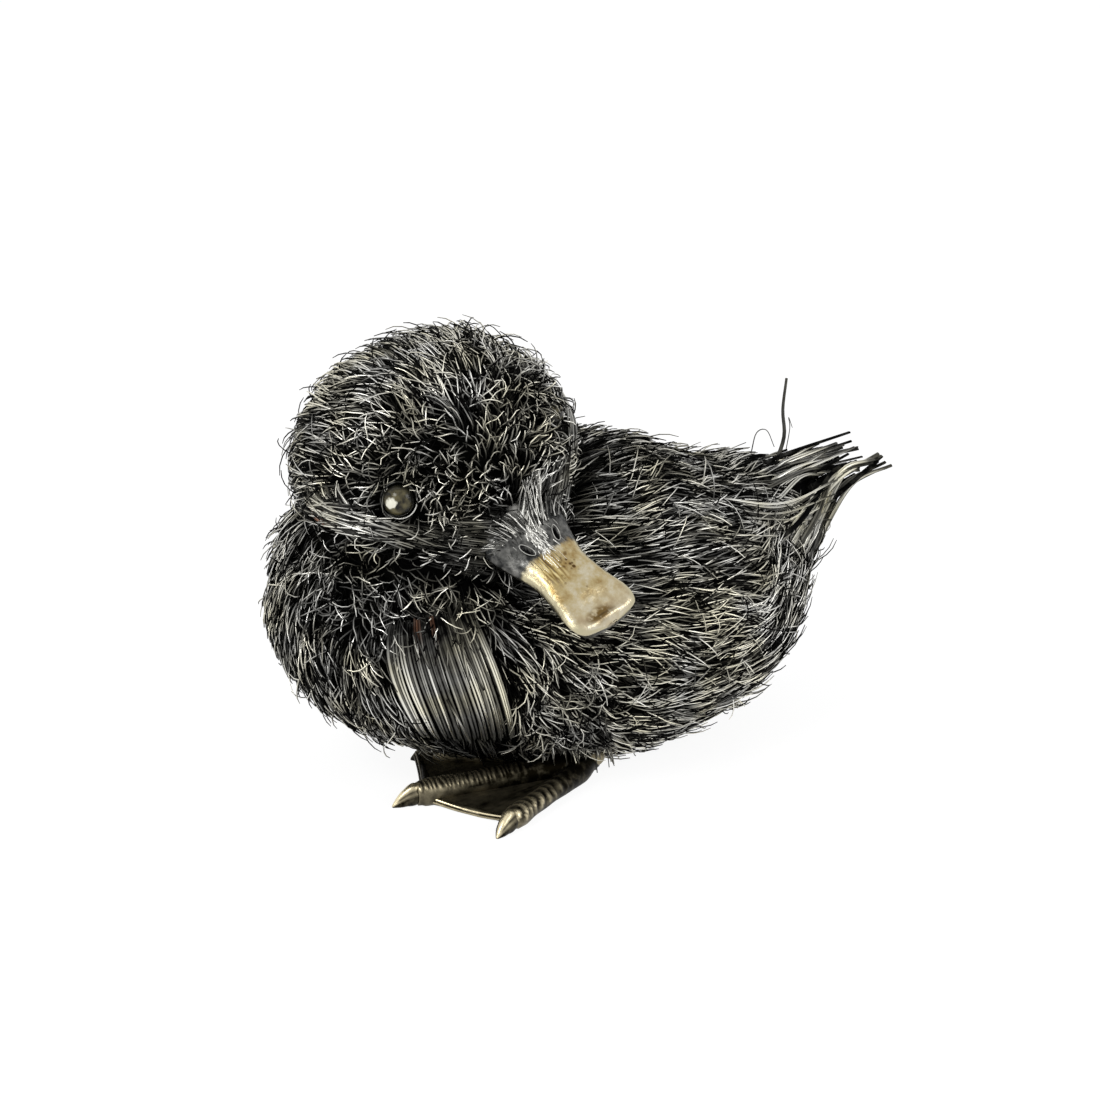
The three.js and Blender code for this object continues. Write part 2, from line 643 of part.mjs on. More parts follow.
function web(first, second, sign) {
  const near = vec(sign * first.x, first.y, 0).multiplyScalar(WEB_REACH);
  const far = vec(sign * second.x, second.y, 0).multiplyScalar(WEB_REACH);
  const hollow = near.clone().add(far).multiplyScalar(WEB_HOLLOW / 2);
  const edge = new THREE.QuadraticBezierCurve3(near, hollow, far);
  const outline = [vec(0, 0, 0), ...edge.getPoints(WEB_STEPS)];
  const low = outline.map((point) => point.clone().setZ(WEB_LOW));
  const high = outline.map((point) => point.clone().setZ(WEB_LOW + WEB_THICKNESS));
  const fan = outline.slice(2).flatMap((unused, step) => [0, step + 1, step + 2]);
  const count = outline.length;
  const corners = [...fan.map((corner) => corner + count)];
  for (let start = 0; start < fan.length; start += 3) {
    corners.push(fan[start], fan[start + 2], fan[start + 1]);
  }
  for (let corner = 0; corner < count; corner += 1) {
    const next = (corner + 1) % count;
    corners.push(corner, next, next + count, corner, next + count, corner + count);
  }
  const sheet = toSolid(outward([...low, ...high], corners));
  const rimPoints = edge.getPoints(WEB_STEPS).map((point) => point.setZ(WEB_LOW + WEB_THICKNESS));
  const rimSection = roundSection(WEB_RIM / 2, WEB_RIM_SIDES);
  const rim = sweep(rimPoints, rimPoints.map(() => vec(0, 0, 1)), () => rimSection);
  return sheet.add(toSolid(rim));
}

const bodyGrown = skinSolid(bodyForm, BODY_FACETS, SEAM);
const belowGround = toSolid(blockPast(vec(0, 0, 0), vec(0, 0, -1)));

function turnedOut({ x, y }, degrees) {
  const tip = vec(x, y, 0).applyAxisAngle(vec(0, 0, 1), radians(degrees));
  return { x: tip.x, y: tip.y };
}

for (const [side, sign, setback, turn] of [
  ["left", 1, 0, 0],
  ["right", -1, RIGHT_FOOT_SETBACK, RIGHT_FOOT_TURN],
]) {
  const place = vec(sign * HEEL.x, HEEL.y + setback, 0);
  const tips = TOES.map((each) => turnedOut(each, turn));
  const toes = tips.map((each) => toSolid(toe(each, sign)));
  const webs = [web(tips[0], tips[1], sign), web(tips[1], tips[2], sign)];
  const knob = new THREE.SphereGeometry(HEEL_RADIUS, HEEL_FACETS.around, HEEL_FACETS.along);
  knob.translate(0, 0, HEEL.z + SEAM);
  const whole = wasm.Manifold.union([...toes, ...webs, toSolid(knob)]);
  const seated = whole.translate(place.toArray()).subtract(bodyGrown).subtract(belowGround);
  const foot = new THREE.Group();
  foot.position.copy(place);
  duckling.add(foot);
  const geometry = toGeometry(seated.translate(place.clone().negate().toArray()));
  addPiece(foot, `foot_${side}`, geometry, "cast");
  const webMiddles = [0, 1].map((first) => ({
    x: (tips[first].x + tips[first + 1].x) / 2,
    y: (tips[first].y + tips[first + 1].y) / 2,
  }));
  for (const { x, y } of [...tips, ...webMiddles]) {
    const line = TOE_CLEARINGS.map((share) => vec(sign * x * share, y * share, HEEL.z).add(place));
    keepClear(line, 2 * TOE_ROOT_RADIUS);
  }
}

// Coat: wires spread evenly over a skin, each lying along the feathers and crossing none
const wireLines = [];

function wireLine(seat, lie, length) {
  const low = seat.point.clone().addScaledVector(seat.normal, -WIRE_SINK);
  const knee = seat.point.clone().addScaledVector(lie, length * KNEE_PLACE);
  const end = seat.point.clone().addScaledVector(lie, length * WIRE_COVER);
  knee.addScaledVector(seat.normal, length * WIRE_STAND * KNEE_STAND);
  end.addScaledVector(seat.normal, length * WIRE_STAND);
  return [low, knee, end];
}

function samplesOf([low, knee, end]) {
  return Array.from({ length: WIRE_SAMPLES }, (unused, step) => {
    const share = (2 * step) / (WIRE_SAMPLES - 1);
    return share < 1 ? low.clone().lerp(knee, share) : knee.clone().lerp(end, share - 1);
  });
}

function wireSolid(line, normal, thickness) {
  const radius = thickness / 2;
  return toSolid(sweep(line, line.map(() => normal), (along) =>
    along === 1 ? [[0, 0]] : roundSection(radius * mix(1, WIRE_END, along), WIRE_SIDES),
  ));
}

function crosses(samples) {
  const close = (point, other) => point.distanceTo(other) < WIRE_CLEARANCE;
  return wireLines.some((line) =>
    line[0].distanceTo(samples[0]) < 3 * WIRE_LENGTH
    && line.some((other) => samples.some((point) => close(point, other))),
  );
}

// Lays wires on a form and hands each to the shell whose test its root and knee pass
function layCoat({ shape, toBody, lieAt, shells, clearOf }) {
  const roots = [];
  const turned = new THREE.Matrix3().setFromMatrix4(toBody);
  for (let attempt = 0; attempt < COAT_TRIES; attempt += 1) {
    const height = 1 - (2 * attempt + 1) / COAT_TRIES;
    const ringRadius = Math.sqrt(1 - height * height);
    const turn = attempt * GOLDEN_TURN;
    const direction = vec(ringRadius * Math.cos(turn), ringRadius * Math.sin(turn), height);
    const seat = onSkin(shape, shape.heart, direction);
    const root = seat.point.clone().applyMatrix4(toBody);
    if (roots.some((other) => other.distanceTo(root) < WIRE_SPACING)) continue;
    const across = seat.normal.clone().cross(lieAt(seat.point)).normalize();
    const lie = across.clone().cross(seat.normal);
    lie.addScaledVector(across, WIRE_SWAY * stray(attempt)).normalize();
    const length = WIRE_LENGTH * (1 + LENGTH_SWAY * stray(attempt + 0.5));
    const line = wireLine(seat, lie, length).map((point) => point.applyMatrix4(toBody));
    const samples = samplesOf(line);
    const shell = shells.find(({ holds }) => samples.slice(0, 3).every(holds));
    const free = samples.slice(1).every((point) =>
      clearOf(point) && keptClear.every((place) => place.point.distanceTo(point) > place.distance),
    );
    if (!shell || !free || crosses(samples)) continue;
    roots.push(root);
    wireLines.push(samples);
    shell.wires.push(wireSolid(line, seat.normal.clone().applyMatrix3(turned), WIRE_THICKNESS));
  }
}

const seamMargin = SEAM + WIRE_THICKNESS;
const headSideOfNeck = (point) => point.clone().sub(neckPoint).dot(neckNormal);
const skinClearance = WIRE_THICKNESS;

const bellyCoat = { holds: (point) => point.z < PARTING_HEIGHT - seamMargin, wires: [] };
const backCoat = {
  holds: (point) => point.z > PARTING_HEIGHT + seamMargin && headSideOfNeck(point) < -seamMargin,
  wires: [],
};
const leftOfCrown = (point) => point.clone().applyMatrix4(bodyToHead).y;
const onHead = (point) => headSideOfNeck(point) > seamMargin;
const leftCoat = { holds: (point) => onHead(point) && leftOfCrown(point) > seamMargin, wires: [] };
const rightCoat = { holds: (point) => onHead(point) && leftOfCrown(point) < -seamMargin, wires: [] };

// Down over the breast, back along the flanks and a little up over the rump
function bodyLie(point) {
  const { from, to, outwards, back, flankRise, bellyRise } = BREAST_LIE;
  const alongBody = THREE.MathUtils.smoothstep(point.y, from, to);
  const rise = mix(-1, point.z > BODY_HEART.z ? flankRise : bellyRise, alongBody);
  return vec(outwards * Math.sign(point.x), mix(back, 1, alongBody), rise);
}

// Back from the bill over the crown, and down the cheeks and throat
function headLie(point) {
  const { from, to, outwards, crownRise, cheekRise } = HEAD_LIE;
  const lower = THREE.MathUtils.smoothstep(-point.z, from, to);
  return vec(-1, outwards * Math.sign(point.y) * lower, mix(crownRise, cheekRise, lower));
}

const ground = 2 * WIRE_THICKNESS;
layCoat({
  shape: headForm,
  toBody: headToBody,
  lieAt: headLie,
  shells: [leftCoat, rightCoat],
  clearOf: (point) => skin(bodyForm, point) > skinClearance || headSideOfNeck(point) > seamMargin,
});
layCoat({
  shape: bodyForm,
  toBody: new THREE.Matrix4(),
  lieAt: bodyLie,
  shells: [bellyCoat, backCoat],
  clearOf: (point) =>
    point.z > ground
    && (skin(headForm, point.clone().applyMatrix4(bodyToHead)) > skinClearance
      || headSideOfNeck(point) < -seamMargin),
});

// Crest wire at the root of the tail
{
  const seat = onSkin(bodyForm, vec(CREST_WIRE.x, CREST_WIRE.y, TAIL_AXIS_HEIGHT), vec(0, 0, 1));
  const foot = seat.point.clone().addScaledVector(seat.normal, -CREST_WIRE.sink);
  const knee = seat.point.clone().add(vec(0, CREST_WIRE.lean, CREST_WIRE.length / 2));
  const end = seat.point.clone().add(vec(0, CREST_WIRE.lean * CREST_WIRE.tipLean, CREST_WIRE.length));
  backCoat.wires.push(wireSolid([foot, knee, end], vec(1, 0, 0), CREST_WIRE.thickness));
}

// Body shells: belly below the parting line and back above it, cut off at the neck
const bodySolid = skinSolid(bodyForm, BODY_FACETS);
const halfSeam = SEAM / 2;
const aboveParting = toSolid(blockPast(vec(0, 0, PARTING_HEIGHT - halfSeam), vec(0, 0, 1)));
const belowParting = toSolid(blockPast(vec(0, 0, PARTING_HEIGHT + halfSeam), vec(0, 0, -1)));
const pastNeck = toSolid(blockPast(neckPoint.clone().addScaledVector(neckNormal, -halfSeam), neckNormal));
const bellyShell = bodySolid.subtract(aboveParting).subtract(belowGround);
const backShell = bodySolid.subtract(belowParting).subtract(pastNeck);
const coated = (shell, { wires }) => toGeometry(wasm.Manifold.union([shell, ...wires]));
addPiece(duckling, "body_shell_lower", coated(bellyShell, bellyCoat), "coat");
addPiece(duckling, "body_shell_upper", coated(backShell, backCoat), "coat");

// Head shells: left and right, cut off at the neck, with a pocket for each eye
const headSolid = skinSolid(headForm, HEAD_FACETS);
const belowNeckBlock = blockPast(
  neckPoint.clone().addScaledVector(neckNormal, halfSeam),
  neckNormal.clone().negate(),
);
const belowNeck = toSolid(belowNeckBlock.applyMatrix4(bodyToHead));
for (const [side, sign, coat] of [["left", 1, leftCoat], ["right", -1, rightCoat]]) {
  const otherSide = toSolid(blockPast(vec(0, sign * halfSeam, 0), vec(0, -sign, 0)));
  const shell = headSolid.subtract(belowNeck).subtract(otherSide).subtract(eyePockets[side]);
  const wires = coat.wires.map((wire) => wire.transform(bodyToHead.elements));
  addPiece(head, `head_shell_${side}`, coated(shell, { wires }), "coat");
}

const wireCount = wireLines.length + 1;
console.log(`coat wires: ${wireCount}, none closer than ${WIRE_CLEARANCE} mm between their middles`);

export default duckling;
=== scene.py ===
# Silver duckling figurine, seated, with its head turned over its left shoulder.
# Sizes are in millimetres until a finished mesh is brought to metres.
# +Z up, breast at -Y, the bird's left at +X, origin on the ground under the belly.

import math

import bmesh
import bpy
import numpy as np
from mathutils import Matrix, Vector, kdtree, noise


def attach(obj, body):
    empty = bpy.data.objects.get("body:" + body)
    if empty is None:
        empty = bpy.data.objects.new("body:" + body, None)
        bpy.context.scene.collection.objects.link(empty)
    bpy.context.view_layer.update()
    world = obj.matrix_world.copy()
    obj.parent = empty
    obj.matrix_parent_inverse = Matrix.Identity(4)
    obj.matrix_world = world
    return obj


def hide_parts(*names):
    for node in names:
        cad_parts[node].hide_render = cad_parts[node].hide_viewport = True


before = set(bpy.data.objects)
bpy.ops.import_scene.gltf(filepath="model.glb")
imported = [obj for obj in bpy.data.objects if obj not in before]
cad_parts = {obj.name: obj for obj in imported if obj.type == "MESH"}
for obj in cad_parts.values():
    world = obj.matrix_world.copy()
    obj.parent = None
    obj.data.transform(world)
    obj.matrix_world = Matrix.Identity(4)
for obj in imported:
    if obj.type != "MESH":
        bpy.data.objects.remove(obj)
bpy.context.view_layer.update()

# Body shells: the belly and the back of the bird, raised from sheet silver and blackened.
# Their form is five ellipsoids that melt into one another, cut flat where the bird sits. The
# sheet lies a little under the middle of the coat and hardly shows between its wires; its
# near-black, unreflecting colour there is blackening and also painted shade.

MILLIMETRE = 0.001  # in metres
TINY = 1e-9
SHEET_DEPTH = 0.9  # of the sheet under the middle of the coat
SHELL_SUBDIVISIONS = 6
FARTHEST_SKIN = 140.0
HALVINGS = 24
FEELER = 0.05
PATINA_BUMP = 0.0002  # in metres
WORN_ROUGHNESS = 0.24
BLACKENED_ROUGHNESS = 0.55
body_form = {
    "balls": (
        ((0, 7.7, 23.1), (29.7, 40.8, 23.9), 1),
        ((0, -25.1, 29.1), (26.7, 23.9, 20.5), 0),
        ((1, 5.9, 36.2), (17, 22.6, 16.7), 0),
        ((0, 41.4, 33.5), (10.8, 16, 10.8), 10),
        ((1.9, -26.1, 44.6), (19.3, 18.6, 16.6), 0),
    ),
    "melt": 4,
    "place": np.zeros(3),
    "axes": np.eye(3),
}
body_heart = np.array((0, 5, 27))


def unit(rows):
    return rows / np.maximum(np.linalg.norm(rows, axis=-1, keepdims=True), TINY)


def mix(first, second, share):
    return first + (second - first) * share


def ease(start, end, value):
    share = np.clip((value - start) / (end - start), 0, 1)
    return share * share * (3 - 2 * share)


def skin(form, spots):
    """Distance of each spot from the melted ellipsoids, less than zero inside."""
    local = (spots - form["place"]) @ form["axes"]
    gaps = []
    for middle, radii, tilt in form["balls"]:
        lean = math.radians(-tilt)
        turned = local - np.array(middle)
        along = turned[..., 1] * math.cos(lean) - turned[..., 2] * math.sin(lean)
        above = turned[..., 1] * math.sin(lean) + turned[..., 2] * math.cos(lean)
        share = np.stack((turned[..., 0], along, above), -1) / np.array(radii)
        size = np.linalg.norm(share, axis=-1)
        slope = np.maximum(np.linalg.norm(share / np.array(radii), axis=-1), TINY)
        gaps.append(size * (size - 1) / slope)
    gaps = np.array(gaps)
    least = gaps.min(0)
    return least - form["melt"] * np.log(np.exp((least - gaps) / form["melt"]).sum(0))


def outward(form, spots):
    """Direction that leads straight off the skin at each spot."""
    steps = np.eye(3) * FEELER
    slopes = [skin(form, spots + step) - skin(form, spots - step) for step in steps]
    return unit(np.stack(slopes, -1))


def reach(form, start, directions, level=0):
    """Where rays from a start inside the skin come to a level above it."""
    near = np.zeros(len(directions))
    far = np.full(len(directions), FARTHEST_SKIN)
    for _ in range(HALVINGS):
        middle = (near + far) / 2
        inside = skin(form, start + directions * middle[:, None]) < level
        near = np.where(inside, middle, near)
        far = np.where(inside, far, middle)
    return start + directions * near[:, None]


def skin_shell(form, heart):
    shell = bmesh.new()
    bmesh.ops.create_icosphere(shell, subdivisions=SHELL_SUBDIVISIONS, radius=1)
    directions = unit(np.array([vertex.co for vertex in shell.verts]))
    for vertex, spot in zip(shell.verts, reach(form, heart, directions, -SHEET_DEPTH)):
        vertex.co = spot
    return shell


def to_mesh(name, built):
    mesh = bpy.data.meshes.new(name)
    built.to_mesh(mesh)
    built.free()
    return mesh


def corners_and_faces(mesh):
    faces = [tuple(face.vertices) for face in mesh.polygons if len(face.vertices) == 3]
    return np.array([vertex.co for vertex in mesh.vertices]), np.array(faces)


def add_piece(name, mesh, finish, slot, *nodes):
    """Brings a mesh to metres and makes it a piece that stands for the frame's nodes."""
    mesh.transform(Matrix.Scale(MILLIMETRE, 4))
    mesh.shade_smooth()
    mesh.materials.clear()
    mesh.materials.append(finish)
    piece = bpy.data.objects.new(name, mesh)
    bpy.context.scene.collection.objects.link(piece)
    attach(piece, "root")
    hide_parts(*nodes)
    return piece


def feed(tree, socket, value):
    """Joins an output to a socket, or sets the socket to a number or a colour."""
    if isinstance(value, bpy.types.NodeSocket):
        tree.links.new(value, socket)
    elif isinstance(value, tuple):
        socket.default_value = (*value, 1)
    else:
        socket.default_value = value


def fill(tree, node, **values):
    """Gives a node's settings and sockets the values and outputs that are named like them."""
    for label, value in values.items():
        if label[0].islower():
            setattr(node, label, value)
        else:
            feed(tree, node.inputs[label.replace("_", " ")], value)
    return node


def add_node(tree, kind, **values):
    return fill(tree, tree.nodes.new(kind), **values)


def grain(tree, scale, detail, roughness=0.5):
    """Cloudy noise over a piece, by its own coordinates."""
    place = tree.nodes.new("ShaderNodeTexCoord").outputs["Object"]
    clouds = add_node(tree, "ShaderNodeTexNoise", Vector=place, Scale=scale, Detail=detail,
                      Roughness=roughness)
    return clouds.outputs["Fac"]


def worked_out(tree, operation, *terms, use_clamp=False):
    """The result of a sum on numbers and outputs."""
    node = add_node(tree, "ShaderNodeMath", operation=operation, use_clamp=use_clamp)
    for socket, term in zip(node.inputs, terms):
        feed(tree, socket, term)
    return node.outputs[0]


def ranged(tree, value, low, high, start=0.0, end=1.0, course="LINEAR"):
    """A value that goes from start to end while its source goes from low to high."""
    node = add_node(tree, "ShaderNodeMapRange", interpolation_type=course, Value=value,
                    From_Min=low, From_Max=high, To_Min=start, To_Max=end)
    return node.outputs[0]


def blended(tree, share, first, second):
    """A colour that goes from the first to the second with the share."""
    node = add_node(tree, "ShaderNodeMix", data_type="RGBA", Factor=share)
    first_colour, second_colour = node.inputs[6:8]
    feed(tree, first_colour, first)
    feed(tree, second_colour, second)
    return node.outputs[2]


def patina_group():
    """Silver blackened in the hollows and rubbed bright where it is touched."""
    group = bpy.data.node_groups.new("silver_patina", "ShaderNodeTree")
    inputs = {"Polish": "Float", "Dark": "Color", "Bright": "Color", "Spots": "Float", "Wear": "Float"}
    outputs = {"Colour": "Color", "Roughness": "Float", "Height": "Float"}
    for in_out, sockets in (("INPUT", inputs), ("OUTPUT", outputs)):
        for label, kind in sockets.items():
            group.interface.new_socket(name=label, in_out=in_out, socket_type=f"NodeSocket{kind}")
    given = group.nodes.new("NodeGroupInput").outputs
    spots = grain(group, given["Spots"], detail=4, roughness=0.6)
    centred = worked_out(group, "SUBTRACT", spots, 0.5)
    worn = worked_out(group, "MULTIPLY_ADD", centred, given["Wear"], given["Polish"], use_clamp=True)
    add_node(group, "NodeGroupOutput", Colour=blended(group, worn, given["Dark"], given["Bright"]),
             Roughness=ranged(group, worn, 0, 1, BLACKENED_ROUGHNESS, WORN_ROUGHNESS), Height=spots)
    return group


silver_patina = patina_group()


def add_patina(tree, polish, dark, bright, spots, wear):
    return add_node(tree, "ShaderNodeGroup", node_tree=silver_patina, Polish=polish, Dark=dark,
                    Bright=bright, Spots=spots, Wear=wear)


def patinated(tree, shader, relief, **patina_values):
    """Lays the patina over a finish, with low bumps from its spots."""
    patina = add_patina(tree, **patina_values)
    bumps = add_node(tree, "ShaderNodeBump", Strength=relief, Distance=PATINA_BUMP,
                     Height=patina.outputs["Height"])
    fill(tree, shader, Base_Color=patina.outputs["Colour"], Roughness=patina.outputs["Roughness"],
         Normal=bumps.outputs["Normal"])
    return patina


def new_finish(name, metallic, roughness):
    """A material with its node tree and its Principled shader."""
    finish = bpy.data.materials.new(name)
    finish.use_nodes = True
    tree = finish.node_tree
    shader = fill(tree, tree.nodes["Principled BSDF"], Metallic=metallic, Roughness=roughness)
    return finish, tree, shader


# The undercoat is blackened silver made nearly black and without reflection: real blackening, and
# painted shade in the gaps between the wires.
undercoat, tree, shader = new_finish("blackened_and_shaded_silver", metallic=0, roughness=0.5)
fill(tree, shader, Specular_IOR_Level=0.01)
patinated(tree, shader, relief=0.4, polish=0.15, dark=(0.0006, 0.0006, 0.0006),
          bright=(0.005, 0.005, 0.004), spots=300, wear=0.8)

body_shell = skin_shell(body_form, body_heart)
everything = body_shell.verts[:] + body_shell.edges[:] + body_shell.faces[:]
bmesh.ops.bisect_plane(body_shell, geom=everything, plane_co=(0, 0, 0), plane_no=(0, 0, -1),
                       clear_outer=True)
rim_edges = [edge for edge in body_shell.edges if edge.is_boundary]
bmesh.ops.holes_fill(body_shell, edges=rim_edges)
body_mesh = to_mesh("body_under_coat", body_shell)
body_corners, body_faces = corners_and_faces(body_mesh)
add_piece("body_under_coat", body_mesh, undercoat, "oxidised_silver",
          "body_shell_lower", "body_shell_upper")

# Head shells: left and right cheeks of sheet silver, soldered along the crown and to the neck.
# The head is turned over the left shoulder, nods and leans, and has a pocket for each eye.

HEAD_TURN = math.radians(104)
HEAD_NOD = math.radians(18)
HEAD_TILT = math.radians(18)
SIDES = {"left": 1, "right": -1}
EYE_BEARING = 53.6
EYE_RISE = 21.7
EYE_POCKET_DEPTH = 1.1
EYE_POCKET_RADIUS = 3.6
EYE_POCKET_EDGE = 0.5
EYE_POCKET_PLAY = 0.2
head_forward = np.array((
    math.sin(HEAD_TURN) * math.cos(HEAD_NOD),
    -math.cos(HEAD_TURN) * math.cos(HEAD_NOD),
    -math.sin(HEAD_NOD),
))
head_level = np.array((math.cos(HEAD_TURN), math.sin(HEAD_TURN), 0))
head_upright = np.cross(head_forward, head_level)
head_left = head_level * math.cos(HEAD_TILT) + head_upright * math.sin(HEAD_TILT)
head_crown = np.cross(head_forward, head_left)
head_form = {
    "balls": (((0, 0.4, -1.4), (22.1, 23.3, 18.8), 0), ((9, 0, -5), (16, 13.5, 12), 0)),
    "melt": 2,
    "place": np.array((4.7, -24.9, 57.5)),
    "axes": np.stack((head_forward, head_left, head_crown), 1),
}
head_heart = head_form["place"]


def from_head(spots):
    return np.asarray(spots, float) @ head_form["axes"].T + head_heart


def to_head(spots):
    return (np.asarray(spots, float) - head_heart) @ head_form["axes"]


def head_spot(bearing, rise, sign):
    """Spots on the head's skin, by degrees from the bill and above its middle."""
    turn = np.radians(np.atleast_1d(np.asarray(bearing, float)))
    lift = np.radians(np.atleast_1d(np.asarray(rise, float)))
    ahead, aside = np.cos(turn) * np.cos(lift), sign * np.sin(turn) * np.cos(lift)
    local = np.stack((ahead, aside, np.sin(lift)), -1)
    return reach(head_form, head_heart, local @ head_form["axes"].T)


eye_seats = {side: head_spot(EYE_BEARING, EYE_RISE, sign)[0] for side, sign in SIDES.items()}
eye_normals = {side: outward(head_form, seat[None])[0] for side, seat in eye_seats.items()}

head_shell = skin_shell(head_form, head_heart)
for vertex in head_shell.verts:
    for side, seat in eye_seats.items():
        apart = (vertex.co - Vector(seat)).length
        rim = ease(EYE_POCKET_RADIUS - EYE_POCKET_EDGE, EYE_POCKET_RADIUS + EYE_POCKET_EDGE, apart)
        depth = EYE_POCKET_DEPTH - SHEET_DEPTH + EYE_POCKET_PLAY
        vertex.co -= Vector(eye_normals[side]) * (1 - float(rim)) * depth
head_mesh = to_mesh("head_under_coat", head_shell)
head_corners, head_faces = corners_and_faces(head_mesh)
add_piece("head_under_coat", head_mesh, undercoat, "oxidised_silver",
          "head_shell_left", "head_shell_right")

# Eyes: olive glass cabochons, domed, with a painted highlight in the glass on the side away from
# the bill and below. Each is held by a ring of drawn wire burnished over its girdle, with a painted
# reflection that makes it bright towards the bill and below.

EYE_RADIUS = 2.6
EYE_DOME = 2.1
EYE_DOME_STEPS = 8
EYE_GIRDLE = 1.0
EYE_SEAT = 0.3  # of the glass over the bottom of its pocket
EYE_CORNERS = 40
EYE_RING_THICKNESS = 0.30
EYE_RING_GAP = 0.4
EYE_RING_STEPS = 12
EYE_RING_CORNERS = 48
IRIS_FADE = (0.62, 1.0)  # share of the radius
HIGHLIGHT_FADE = (0.5, 1.6)
HIGHLIGHT_AHEAD, HIGHLIGHT_ASIDE, HIGHLIGHT_ABOVE = -0.62, 0.62, -0.32
WELD = 0.0005


def painted(tree, label):
    """The values that a mesh carries under a label."""
    return add_node(tree, "ShaderNodeAttribute", attribute_name=label).outputs["Fac"]


def toned(tree, value, first, last, *between):
    """Colours by a value, each stop with its place and its colour."""
    node = add_node(tree, "ShaderNodeValToRGB", Fac=value)
    for stop, (place, colour) in zip(node.color_ramp.elements, (first, last)):
        stop.position = place
        stop.color = (*colour, 1)
    for place, colour in between:
        node.color_ramp.elements.new(place).color = (*colour, 1)
    return node.outputs["Color"]


eye_glass, tree, shader = new_finish("eye_glass", metallic=0, roughness=0.06)
olive = toned(tree, grain(tree, 700, 3), (0.40, (0.006, 0.005, 0.003)), (0.64, (0.13, 0.112, 0.055)))
iris = blended(tree, painted(tree, "iris"), (0.006, 0.006, 0.005), olive)
# The pale patch in each glass is a painted highlight, placed where a lamp's reflection would shine.
highlight_share = worked_out(tree, "MULTIPLY_ADD", grain(tree, 1500, 3), 1.1, painted(tree, "painted_highlight"))
flash = ranged(tree, highlight_share, 1.0, 1.35)
fill(tree, shader, Specular_IOR_Level=0.28, IOR=1.46,
     Base_Color=blended(tree, flash, iris, (0.85, 0.83, 0.70)))

bright_wire, tree, shader = new_finish("bright_wire", metallic=1, roughness=0.25)
patinated(tree, shader, relief=0.2, polish=painted(tree, "worn"), dark=(0.012, 0.012, 0.011),
          bright=(0.78, 0.77, 0.72), spots=900, wear=0.4)


def ring_painted_reflection(offset):
    """A painted reflection on the eye's ring: bright towards the bill and below, and black above and
    behind.
    """
    toward = Vector(head_forward * 0.75 - head_crown * 0.65)
    return 0.03 + 0.8 * float(ease(0.1, 0.9, offset.normalized().dot(toward)))


def set_values(mesh, label, values):
    layer = mesh.attributes.new(label, "FLOAT", "POINT")
    layer.data.foreach_set("value", np.asarray(values, np.float32))


def turn_profile(built, profile, steps):
    """Spins a profile of (radius, height) steps round the upright and gives back its corners."""
    known = set(built.verts)
    corners = [built.verts.new((radius, 0, height)) for radius, height in profile]
    edges = [built.edges.new(pair) for pair in zip(corners, corners[1:])]
    bmesh.ops.spin(built, geom=corners + edges, axis=(0, 0, 1), cent=(0, 0, 0), angle=math.tau,
                   steps=steps, use_merge=True)
    fresh = [vertex for vertex in built.verts if vertex not in known]
    bmesh.ops.remove_doubles(built, verts=fresh, dist=WELD)
    return [vertex for vertex in built.verts if vertex not in known]


def turned_piece(profile, steps, base, axis):
    """A closed turned form that stands on a base along an axis."""
    built = bmesh.new()
    turn_profile(built, profile, steps)
    bmesh.ops.recalc_face_normals(built, faces=built.faces)
    turn = Vector((0, 0, 1)).rotation_difference(Vector(axis)).to_matrix().to_4x4()
    bmesh.ops.transform(built, matrix=Matrix.Translation(Vector(base)) @ turn, verts=built.verts)
    return built


for side, sign in SIDES.items():
    normal = eye_normals[side]
    base = eye_seats[side] - normal * (EYE_POCKET_DEPTH - EYE_SEAT)
    dome = [(0, 0), (EYE_RADIUS, 0)]
    for step in range(EYE_DOME_STEPS + 1):
        lift = math.radians(90) * step / EYE_DOME_STEPS
        dome.append((EYE_RADIUS * math.cos(lift), EYE_GIRDLE + EYE_DOME * math.sin(lift)))
    mesh = to_mesh(f"glass_eye_{side}", turned_piece(dome, EYE_CORNERS, base, normal))
    corners = np.array([vertex.co for vertex in mesh.vertices]) - base
    flat = corners - (corners @ normal)[:, None] * normal
    set_values(mesh, "iris", 1 - ease(*IRIS_FADE, np.linalg.norm(flat, axis=1) / EYE_RADIUS))
    # Where the painted highlight lies: behind and below the middle of the glass.
    highlight_spot = head_form["axes"] @ np.array((HIGHLIGHT_AHEAD, HIGHLIGHT_ASIDE * sign, HIGHLIGHT_ABOVE))
    set_values(mesh, "painted_highlight", 1 - ease(*HIGHLIGHT_FADE, np.linalg.norm(flat - highlight_spot, axis=1)))
    add_piece(f"glass_eye_{side}", mesh, eye_glass, "eye_glass", f"eye_{side}")

    ring = []
    for step in range(EYE_RING_STEPS + 1):
        around = math.tau * step / EYE_RING_STEPS
        ring.append((EYE_RADIUS + EYE_RING_GAP + EYE_RING_THICKNESS / 2 * math.cos(around),
                     EYE_GIRDLE + EYE_RING_THICKNESS / 2 * math.sin(around)))
    mesh = to_mesh(f"eye_ring_{side}", turned_piece(ring, EYE_RING_CORNERS, base, normal))
    # The ring's brightness is a painted reflection, laid under the label worn.
    set_values(mesh, "worn", [ring_painted_reflection(vertex.co - Vector(base)) for vertex in mesh.vertices])
    add_piece(f"eye_ring_{side}", mesh, bright_wire, "silver_wire", f"eye_rim_{side}")

# Cheek stripes: fine bright wires laid side by side from behind each eye to the bill, with a
# shorter lock under them. Towards the bill they turn into the dark combed lore.

